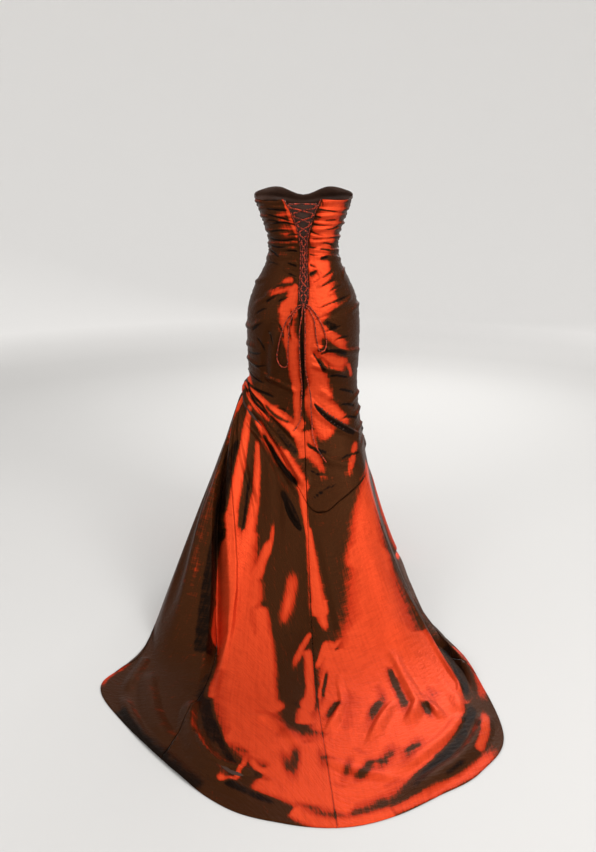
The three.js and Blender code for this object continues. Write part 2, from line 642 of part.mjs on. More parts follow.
function skirtPiece(corners, splits, floorRows) {
  const nodes = [];
  splits.forEach((count, k) => {
    const low = floorBearingOf(corners[k]);
    const high = floorBearingOf(corners[k + 1]);
    for (let n = 0; n < count; n += 1) {
      nodes.push([mix(corners[k], corners[k + 1], n / count), mix(low, high, n / count)]);
    }
  });
  const end = corners[corners.length - 1];
  nodes.push([end, floorBearingOf(end)]);
  const columns = nodes.length - 1;
  nodes[0] = [nodes[0][0] + 0.06, nodes[0][1] + skirtGapTurn];
  nodes[columns] = [nodes[columns][0] - 0.06, nodes[columns][1] - skirtGapTurn];
  const rows = fallRows + floorRows;
  return clothWall(columns, rows, skirtWall, (u, v) => {
    const [seamBearing, floorBearing] = nodes[Math.round(u * columns)];
    const seam = seamAt(wrap(seamBearing)).level - slantedSeamGap / 2;
    const row = v * rows;
    let level = floorLine;
    if (row <= fallRows) {
      level = mix(seam, floorLine, 1 - (1 - row / fallRows) ** 1.9);
    } else {
      const rib = ribAt(wrap(floorBearing));
      const length = Math.hypot(rib.hemX - rib.landX, rib.hemY - rib.landY);
      level = floorLine - (length * (row - fallRows)) / floorRows;
    }
    const fallen = clamp((seam - level) / (seam - floorLine), 0, 1);
    return [mix(seamBearing, floorBearing, fallen), level];
  }, clothPoint, hangFromSeam);
}

// The panel behind the lacing hangs back in the opening and rises to the bodice at its sides.
function modestyPanel() {
  const surface = (bearing, level) => {
    const opening = openingAt(level);
    const point = basePoint(bearing, level);
    const half = point[0] < 0 ? opening.left : opening.right;
    const seat = smooth(half + 3, half + 20, Math.abs(point[0]));
    const back = mix(panelSetBack, bodiceWall + panelSeat, seat);
    return add(point, normalOf(basePoint, bearing, level), -back);
  };
  return clothWall(8, 9, bodiceWall, (u, v) => {
    const level = mix(130, -214, v);
    const opening = openingAt(level);
    const left = bearingOf(-opening.left - 30, level);
    const right = bearingOf(opening.right + 30, level);
    return [mix(left, right, u), level];
  }, surface);
}

// A cord through given places: the section is set square to the run at every place.
class CordPath extends THREE.Curve {
  constructor(points) {
    super();
    this.points = points.map((point) => new THREE.Vector3(...point));
  }

  getPoint(t, target = new THREE.Vector3()) {
    const k = t * (this.points.length - 1);
    const i = Math.min(Math.floor(k), this.points.length - 2);
    return target.copy(this.points[i]).lerp(this.points[i + 1], k - i);
  }

  getPointAt(t, target) {
    return this.getPoint(t, target);
  }

  getSpacedPoints(steps) {
    return Array.from({ length: steps + 1 }, (_, k) => this.getPoint(k / steps));
  }

  getTangent(t, target = new THREE.Vector3()) {
    const step = 0.5 / (this.points.length - 1);
    const after = this.getPoint(Math.min(1, t + step));
    const before = this.getPoint(Math.max(0, t - step));
    return target.copy(after).sub(before).normalize();
  }

  getTangentAt(t, target) {
    return this.getTangent(t, target);
  }
}

function roundSection(radius, sides) {
  const corners = Array.from({ length: sides }, (_, k) => {
    const angle = (2 * Math.PI * (k + 0.5)) / sides;
    return new THREE.Vector2(radius * Math.cos(angle), radius * Math.sin(angle));
  });
  return new THREE.Shape(corners);
}

function cordGeometry(points, diameter, sides) {
  const geometry = new THREE.ExtrudeGeometry(roundSection(diameter / 2, sides), {
    steps: points.length - 1,
    extrudePath: new CordPath(points),
    bevelEnabled: false,
  });
  geometry.deleteAttribute("uv");
  geometry.deleteAttribute("normal");
  return mergeVertices(geometry, 1e-4);
}

// Frame on the edge of the laced opening: the edge point, the way to the centre and outwards.
function openingEdge(side, level) {
  const opening = openingAt(level);
  const x = side * (side < 0 ? opening.left : opening.right);
  const bearing = bearingOf(x, level);
  const outward = normalOf(clothPoint, bearing, level);
  const edge = add(clothPoint(bearing, level), outward, -bodiceWall / 2);
  const turn = 3 / bodyAt(level).halfWidth / toRadians;
  const inward = unit(add(basePoint(bearing - side * turn, level), basePoint(bearing, level), -1));
  return { edge, outward, inward };
}

const pipingSetOff = seamGap + 0.95 + pipingDiameter / 2;
const eyeSetOff = pipingSetOff + eyeRadius;
const eyeLevels = Array.from({ length: eyeCount }, (_, k) => topEyeLevel - k * eyePitch);

// An eye in its own plane: along the way to the centre and outwards, from foot to foot.
const eyeOutline = [
  [-eyeRadius, 1.5],
  ...[55, 118, 180, 242, 305].map((angle) => [
    -eyeRadius * Math.cos(angle * toRadians),
    eyeRadius * Math.sin(angle * toRadians),
  ]),
  [-eyeRadius, -1.5],
];

// One cord runs down the edge of the opening and goes out and round at every eye level.
function edgeLoops(side) {
  const start = openingEdge(side, 147);
  const route = [add(start.edge, start.inward, pipingSetOff)];
  eyeLevels.forEach((level, k) => {
    const between = openingEdge(side, level + eyePitch / 2);
    if (k > 0) route.push(add(between.edge, between.inward, pipingSetOff + 1.1));
    const frame = openingEdge(side, level);
    const centre = add(frame.edge, frame.inward, eyeSetOff);
    eyeOutline.forEach(([along, out], n) => {
      const spot = add(add(centre, frame.inward, along), frame.outward, out);
      route.push(add(spot, [0, 0, 1.2], 1 - n / 3));
    });
  });
  const last = openingEdge(side, eyeLevels[eyeCount - 1] - 9);
  route.push(add(last.edge, last.inward, pipingSetOff));
  return cordGeometry(route, pipingDiameter, 6);
}

function eyeCentre(side, k, rise = 0) {
  const frame = openingEdge(side, eyeLevels[k] + rise);
  return add(frame.edge, frame.inward, eyeSetOff);
}

// The lace climbs from the knot to the top eyes, crosses there and comes back down:
// through each eye upright, and over or under the other run between the eyes.
const eyeClear = 4.7;
const crossLift = 2.45;

function laceRoute() {
  const points = [];
  const last = eyeCount - 1;
  points.push([-2.9, knotPlace()[1] + 1, knotLevel + knotRadius + 0.9]);
  for (let k = last; k >= 0; k -= 1) {
    const side = (last - k) % 2 === 0 ? -1 : 1;
    points.push(eyeCentre(side, k, -eyeClear), eyeCentre(side, k, eyeClear));
    if (k > 0) points.push(crossing(k - 1, 1));
  }
  const topLeft = eyeCentre(-1, 0);
  const topRight = eyeCentre(1, 0);
  const bar = [0.25, 0.5, 0.75].map((t) => topRight.map((value, n) => mix(topLeft[n], value, t)));
  const lastSide = last % 2 === 0 ? -1 : 1;
  const barPoints = lastSide < 0 ? bar : bar.reverse();
  barPoints.forEach((point, k) => {
    points.push([point[0], point[1] - (k === 1 ? 3.2 : 2), point[2] + 6.4]);
  });
  for (let k = 0; k <= last; k += 1) {
    const side = (last - k) % 2 === 0 ? 1 : -1;
    points.push(eyeCentre(side, k, eyeClear), eyeCentre(side, k, -eyeClear));
    if (k < last) points.push(crossing(k, -1));
  }
  points.push([2.9, knotPlace()[1] + 1, knotLevel + knotRadius + 0.9]);
  return points;
}

// Middle of the run between eye k and the next one; over lifts it off the body.
function crossing(k, over) {
  const left = add(eyeCentre(-1, k), eyeCentre(-1, k + 1)).map((value) => value / 2);
  const right = add(eyeCentre(1, k), eyeCentre(1, k + 1)).map((value) => value / 2);
  const sign = k % 2 === 0 ? over : -over;
  const x = (left[0] + right[0]) / 2;
  return [x, (left[1] + right[1]) / 2 - 1.2 - sign * crossLift, (left[2] + right[2]) / 2];
}

function knotPlace() {
  const outward = normalOf(basePoint, 0, knotLevel);
  return add(basePoint(0, knotLevel), outward, 4.4);
}

// A hanging cord lies on the cloth: its places are the cloth's points moved out.
function lyingCord(places, startAngle, endAngle, stepLength) {
  const knot = knotPlace();
  const reach = knotRadius + 0.9;
  const offset = (angle, far) => [
    knot[0] + far * Math.cos(angle * toRadians),
    knot[1],
    knot[2] + far * Math.sin(angle * toRadians),
  ];
  const guide = places.map(([x, level, lift]) => {
    const bearing = bearingOf(x, clamp(level, -480, 230));
    return add(clothPoint(bearing, level), normalOf(clothPoint, bearing, level), lift);
  });
  const all = [offset(startAngle, reach), offset(startAngle, reach + 4), ...guide];
  if (endAngle !== null) all.push(offset(endAngle, reach + 4), offset(endAngle, reach));
  const curve = new THREE.CatmullRomCurve3(
    all.map((point) => new THREE.Vector3(...point)), false, "centripetal",
  );
  const steps = Math.round(curve.getLength() / stepLength);
  return curve.getSpacedPoints(steps).map((point) => point.toArray());
}

// Places of the bow and its ends: distance from the centre back, level, distance off the cloth.
const bowLeft = [
  [-20, -184, 4], [-40, -206, 4], [-60, -240, 4], [-74, -280, 4], [-83, -320, 4], [-86, -352, 4],
  [-76, -374, 4.4], [-60, -382, 4.4], [-52, -368, 4.4], [-50, -330, 4.4], [-48, -280, 4.4],
  [-44, -232, 4.4], [-28, -202, 4.4],
];
const bowRight = [
  [20, -184, 4], [42, -212, 4], [60, -246, 4], [71, -280, 4], [73, -302, 4], [64, -322, 4.4],
  [52, -322, 4.4], [44, -300, 4.4], [38, -266, 4.4], [34, -230, 4.4], [24, -204, 4.4],
];
const endLeft = [
  [-6, -210, 4], [-12, -250, 4], [-14, -298, 4], [-12, -350, 4], [-9, -400, 5], [-5, -454, 5],
  [-7, -500, 6], [-8, -530, 6], [-10, -556, 6], [-20, -578, 6], [-32, -594, 6],
];
const endRight = [
  [4, -210, 4], [5, -260, 4], [5, -320, 4], [6, -380, 4.5], [14, -430, 6], [23, -484, 9],
  [25, -520, 9], [25, -560, 7], [26, -606, 7], [34, -640, 7], [48, -668, 7], [61, -690, 7],
];

const laceStep = 12;

function hangingLace(places, startAngle, endAngle) {
  return cordGeometry(lyingCord(places, startAngle, endAngle, laceStep), laceDiameter, 8);
}

function knotGeometry() {
  const geometry = new THREE.SphereGeometry(knotRadius, 10, 6);
  geometry.scale(1, 0.64, 1);
  geometry.translate(...knotPlace());
  geometry.deleteAttribute("uv");
  geometry.deleteAttribute("normal");
  return mergeVertices(geometry, 1e-4);
}

const sideCorners = [...cornersRight.slice(7), ...cornersFront.slice(1, 5)];
const gown = new THREE.Group();
gown.name = "evening_gown";
gown.add(
  meshOf("bodice_back_left", backHalf(-1), copper),
  meshOf("bodice_back_right", backHalf(1), copper),
  meshOf("bodice_front", frontUpper(), copper),
  meshOf("modesty_panel", modestyPanel(), panelBrown),
  meshOf("skirt_back_left", skirtPiece(cornersLeft.slice(1), [2, 2, 1, 1, 1, 1, 1, 1, 1, 1], 7), copper),
  meshOf("skirt_back_right", skirtPiece(cornersRight.slice(0, 8), [2, 2, 2, 2, 2, 2, 2], 7), copper),
  meshOf("skirt_side_right", skirtPiece(sideCorners, [1, 1, 2, 2, 1, 1, 2], 3), copper),
  meshOf("skirt_front", skirtPiece(cornersFront.slice(4, 14), [1, 1, 1, 2, 1, 1, 2, 1, 1], 2), copper),
  meshOf("skirt_side_left", skirtPiece([-95, -90, -84], [6, 6], 6), copper),
  meshOf("loops_left", edgeLoops(-1), copperDark),
  meshOf("loops_right", edgeLoops(1), copperDark),
  meshOf("lace_crossed", cordGeometry(laceRoute(), laceDiameter, 8), copperDark),
  meshOf("lace_knot", knotGeometry(), copperDark),
  meshOf("bow_loop_left", hangingLace(bowLeft, 168, 208), copperDark),
  meshOf("bow_loop_right", hangingLace(bowRight, 12, 332), copperDark),
  meshOf("lace_end_left", hangingLace(endLeft, 250, null), copperDark),
  meshOf("lace_end_right", hangingLace(endRight, 290, null), copperDark),
);

export default gown;
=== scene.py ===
import math
import bpy
import numpy as np
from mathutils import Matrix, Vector


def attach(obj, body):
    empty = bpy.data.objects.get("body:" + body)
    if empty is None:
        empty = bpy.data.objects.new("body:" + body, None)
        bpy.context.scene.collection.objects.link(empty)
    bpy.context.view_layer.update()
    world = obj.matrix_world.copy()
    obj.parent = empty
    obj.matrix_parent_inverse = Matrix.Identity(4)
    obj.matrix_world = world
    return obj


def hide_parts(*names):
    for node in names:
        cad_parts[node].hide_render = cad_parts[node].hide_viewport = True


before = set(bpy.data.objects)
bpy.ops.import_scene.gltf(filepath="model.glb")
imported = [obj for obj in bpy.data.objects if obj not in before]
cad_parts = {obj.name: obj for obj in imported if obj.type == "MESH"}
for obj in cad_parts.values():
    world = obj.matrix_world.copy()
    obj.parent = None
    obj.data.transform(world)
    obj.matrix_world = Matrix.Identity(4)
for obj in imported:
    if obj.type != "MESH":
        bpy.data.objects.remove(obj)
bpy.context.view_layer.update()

print("frame loaded")

# The gown stands in its worn form: the origin is the middle of the waistline, the back faces -Y.
# A place on the cloth is a bearing (degrees round from the centre back, + towards +X) and a level
# (mm above the waist; past the floor line the run along the floor). All tables are in mm.
mm = 0.001
gown = {
    "waistHeight": 1130, "bodiceWall": 1.6, "skirtWall": 2.2, "flareLevel": -440,
    "seamGap": 0.3, "slantedSeamGap": 0.12, "normalStep": 5,
}
floorLine = gown["skirtWall"] - gown["waistHeight"]

# Camera at the photo's place behind the gown, four soft lamps and a pale room.
view = {"place": (-0.01815, -2.71284, 0.220), "pitchDown": 17.313, "lens": 34, "sensor": 36}
cameraData = bpy.data.cameras.new("backView")
cameraData.sensor_fit = "VERTICAL"
cameraData.sensor_height = view["sensor"]
cameraData.lens = view["lens"]
camera = bpy.data.objects.new("backView", cameraData)
camera.location = view["place"]
camera.rotation_euler = (math.radians(90 - view["pitchDown"]), 0, 0)
bpy.context.scene.collection.objects.link(camera)
bpy.context.scene.camera = camera

lamps = {
    "keyLight": {"place": (2.5, -2.6, 1.5), "aim": (0, -0.3, -0.5), "size": (1.6, 2.0),
                 "watts": 84},
    "leftLight": {"place": (-2.8, -2.2, 1.2), "aim": (-0.1, -0.5, -0.8), "size": (1.4, 1.8),
                  "watts": 30},
    "overLight": {"place": (0.3, -0.9, 3.0), "aim": (0, -0.7, -1.1), "size": (2.6, 2.4),
                  "watts": 32},
    "frontLight": {"place": (0.8, 3.0, 1.2), "aim": (0, 0, -0.4), "size": (1.8, 1.8), "watts": 60},
}
studio = {
    "room": (0.90, 0.90, 0.90), "roomStrength": 0.78, "floor": (0.58, 0.57, 0.556),
    "wall": (0.86, 0.848, 0.832), "flatRadius": 3.2, "bend": 3.4, "height": 4.6,
    "floorLevel": -1.1302, "aroundSteps": 96, "bendSteps": 15, "innerRadii": (0.02, 1.5),
    "rampFrom": 0.3, "fade": 0.16, "roughness": 0.8, "specular": 0.2,
}
for name, facts in lamps.items():
    lamp = bpy.data.lights.new(name, "AREA")
    lamp.shape = "RECTANGLE"
    lamp.size, lamp.size_y = facts["size"]
    lamp.energy = facts["watts"]
    holder = bpy.data.objects.new(name, lamp)
    holder.location = facts["place"]
    toAim = Vector(facts["aim"]) - Vector(facts["place"])
    holder.rotation_euler = toAim.to_track_quat("-Z", "Y").to_euler()
    bpy.context.scene.collection.objects.link(holder)
world = bpy.data.worlds.new("room")
world.use_nodes = True
world.node_tree.nodes["Background"].inputs[0].default_value = (*studio["room"], 1)
world.node_tree.nodes["Background"].inputs[1].default_value = studio["roomStrength"]
bpy.context.scene.world = world
bpy.context.scene.view_settings.view_transform = "Standard"
print("camera and lamps are placed")


def smoothTable(rows, period=0):
    # A cubic through the rows; the slope at a row is the mean of the runs on both sides,
    # each weighted by the length of the other. Beyond the ends the end values stay.
    grid = np.array(rows, float)
    if period:
        shift = np.zeros(grid.shape[1])
        shift[0] = period
        grid = np.vstack([grid[-2] - shift, grid, grid[1] + shift])
    x, y = grid[:, 0], grid[:, 1:]
    h = np.diff(x)
    run = np.diff(y, axis=0) / h[:, None]
    slope = np.vstack([run[:1], run])
    slope[1:-1] = (run[:-1] * h[1:, None] + run[1:] * h[:-1, None]) / (h[:-1] + h[1:])[:, None]

    def at(value):
        # The cubic of the span that holds each value.
        value = np.asarray(value, float)
        k = np.searchsorted(x[1:-1], value, side="left")
        t = np.clip((value - x[k]) / h[k], 0, 1)[..., None]
        step = h[k][..., None]
        result = ((2 * t**3 - 3 * t**2 + 1) * y[k] + (t**3 - 2 * t**2 + t) * step * slope[k]
                  + (3 * t**2 - 2 * t**3) * y[k + 1] + (t**3 - t**2) * step * slope[k + 1])
        return np.moveaxis(result, -1, 0)
    return at


def smooth(low, high, value):
    # 0 below low, 1 above high, 3t^2 - 2t^3 of the share t between them.
    t = np.clip((value - low) / (high - low), 0, 1)
    return t * t * (3 - 2 * t)


def wrap(bearing):
    # The same bearing between -180 and 180 degrees.
    return np.mod(np.asarray(bearing, float) + 180, 360) - 180


def unit(vector):
    # Each vector over its own length.
    return vector / np.maximum(np.linalg.norm(vector, axis=-1, keepdims=True), 1e-9)


# level, half width, depth behind the side line, depth in front of it
bodyAt = smoothTable([
    [-480, 183, 131, 125],
    [-440, 186, 135, 126],
    [-400, 189, 140, 127],
    [-340, 191, 146, 128],
    [-260, 191, 148, 128],
    [-200, 186, 141, 126],
    [-160, 175, 131, 122],
    [-120, 158, 118, 116],
    [-80, 137, 104, 108],
    [-40, 119, 93, 100],
    [0, 113, 88, 96],
    [38, 118, 90, 98],
    [75, 130, 93, 104],
    [110, 142, 97, 110],
    [150, 157, 98, 112],
    [230, 160, 92, 110],
])
# bearing, where the rib lands (x, y), where its hem lies (x, y), sweep, slope it leaves with
ribAt = smoothTable([
    [-180, 0, 310, 0, 320, 0.35, 0.15],
    [-150, -190, 265, -195, 273, 0.35, 0.15],
    [-120, -345, 130, -354, 134, 0.35, 0.3],
    [-105, -400, -30, -412, -35, 0.1, 0.9],
    [-90, -444, -250, -458, -262, 0, 1],
    [-75, -466, -520, -480, -640, 0, 1],
    [-62, -430, -690, -562, -812, 0.25, 0.9],
    [-52, -350, -780, -460, -970, 0.5, 0.7],
    [-42, -262, -840, -320, -1130, 0.78, 0.5],
    [-30, -180, -860, -190, -1244, 0.8, 0.3],
    [-15, -70, -862, -50, -1296, 0.8, 0.1],
    [0, 41, -863, 75, -1308, 0.8, 0.1],
    [15, 160, -866, 185, -1280, 0.8, 0.1],
    [30, 290, -868, 300, -1216, 0.78, 0.1],
    [42, 375, -850, 415, -1138, 0.75, 0.1],
    [52, 425, -790, 500, -1010, 0.7, 0.1],
    [62, 434, -672, 485, -760, 0.6, 0.1],
    [75, 388, -478, 404, -508, 0.5, 0.15],
    [90, 360, -205, 372, -216, 0.35, 0.25],
    [105, 348, -14, 360, -17, 0.25, 0.35],
    [120, 316, 132, 325, 137, 0.3, 0.25],
    [150, 180, 265, 185, 273, 0.35, 0.15],
    [180, 0, 310, 0, 320, 0.35, 0.15],
], 360)
# bearing, level of the slanted seam
seamAt = smoothTable([
    [-180, -600],
    [-150, -540],
    [-120, -482],
    [-90, -446],
    [-75, -462],
    [-57, -508],
    [-32, -612],
    [-16, -702],
    [-5, -768],
    [4, -820],
    [14, -828],
    [27, -800],
    [50, -760],
    [73, -731],
    [90, -715],
    [120, -690],
    [150, -650],
    [180, -600],
], 360)
# bearing, level of the top edge
topAt = smoothTable([
    [-180, 158],
    [-150, 184],
    [-118, 174],
    [-96, 164],
    [-80, 153],
    [0, 150],
    [80, 153],
    [96, 164],
    [118, 174],
    [150, 184],
    [180, 158],
], 360)
# level, half width of the laced opening to the left and to the right
openingAt = smoothTable([
    [-250, 0.15, 0.15],
    [-200, 0.15, 0.15],
    [-186, 9, 9],
    [-172, 13.2, 13.2],
    [-60, 13.3, 13.3],
    [8, 14.2, 14.2],
    [48, 22, 20],
    [80, 32, 29],
    [109, 44, 39],
    [150, 66, 57],
    [190, 80, 70],
])
# bearing at the slanted seam, bearing at the floor
skirtSpread = np.array([
    [-95, -112],
    [-90, -75],
    [-84, -44],
    [-66, -30],
    [-33, -15],
    [1, -1],
    [17, 15],
    [30, 30],
    [60, 62],
    [90, 90],
    [130, 130],
    [180, 180],
    [220, 215],
    [265, 248],
], float)
# bearing, level, radius and height of the cups
cups = [(-152, 104, 82, 27), (152, 104, 82, 27)]
cupBodyRadius = 125  # the body's own radius at their level


def bodyPoint(bearing, level):
    # Two half ellipses: x = halfWidth * sin(bearing), y = -depth * cos(bearing).
    halfWidth, backDepth, frontDepth = bodyAt(level)
    back = np.cos(np.radians(bearing))
    depth = np.where(back > 0, backDepth, frontDepth)
    return np.stack([halfWidth * np.sin(np.radians(bearing)), -depth * back,
                     np.broadcast_to(level, np.shape(back + level))], -1)


def basePoint(bearing, level):
    # The body form down to the flare, then each rib's fall: a share (1 - sweep) of a cubic
    # from the leaving slope to the landing slope and a share sweep of a quarter circle; then
    # the run to the hem.
    bearing = wrap(bearing)
    level = np.asarray(level, float)
    flare = gown["flareLevel"]
    knee = bodyPoint(bearing, np.maximum(level, flare))
    landX, landY, hemX, hemY, sweep, leave = ribAt(bearing)
    t = np.clip((flare - level) / (flare - floorLine), 0, 1)
    landing = 1.45 - 0.45 * leave
    straight = ((t**3 - 2 * t**2 + t) * leave + (3 * t**2 - 2 * t**3)
                + (t**3 - t**2) * landing)
    out = (1 - sweep) * straight + sweep * (1 - np.sqrt(1 - t * t))
    run = np.maximum(0, floorLine - level)
    length = np.hypot(hemX - landX, hemY - landY)
    x = knee[..., 0] + (landX - knee[..., 0]) * out + (hemX - landX) / length * run
    y = knee[..., 1] + (landY - knee[..., 1]) * out + (hemY - landY) / length * run
    return np.stack([x, y, np.maximum(level, floorLine) + 0 * x], -1)


def normalOf(place, bearing, level):
    # The cross product of the way down and the way round, each over 5 mm on both sides.
    step = gown["normalStep"]
    point = basePoint(bearing, level)
    turn = np.degrees(step / (np.hypot(point[..., 0], point[..., 1]) + 1))
    across = place(bearing + turn, level) - place(bearing - turn, level)
    down = place(bearing, level - step) - place(bearing, level + step)
    return unit(np.cross(down, across))


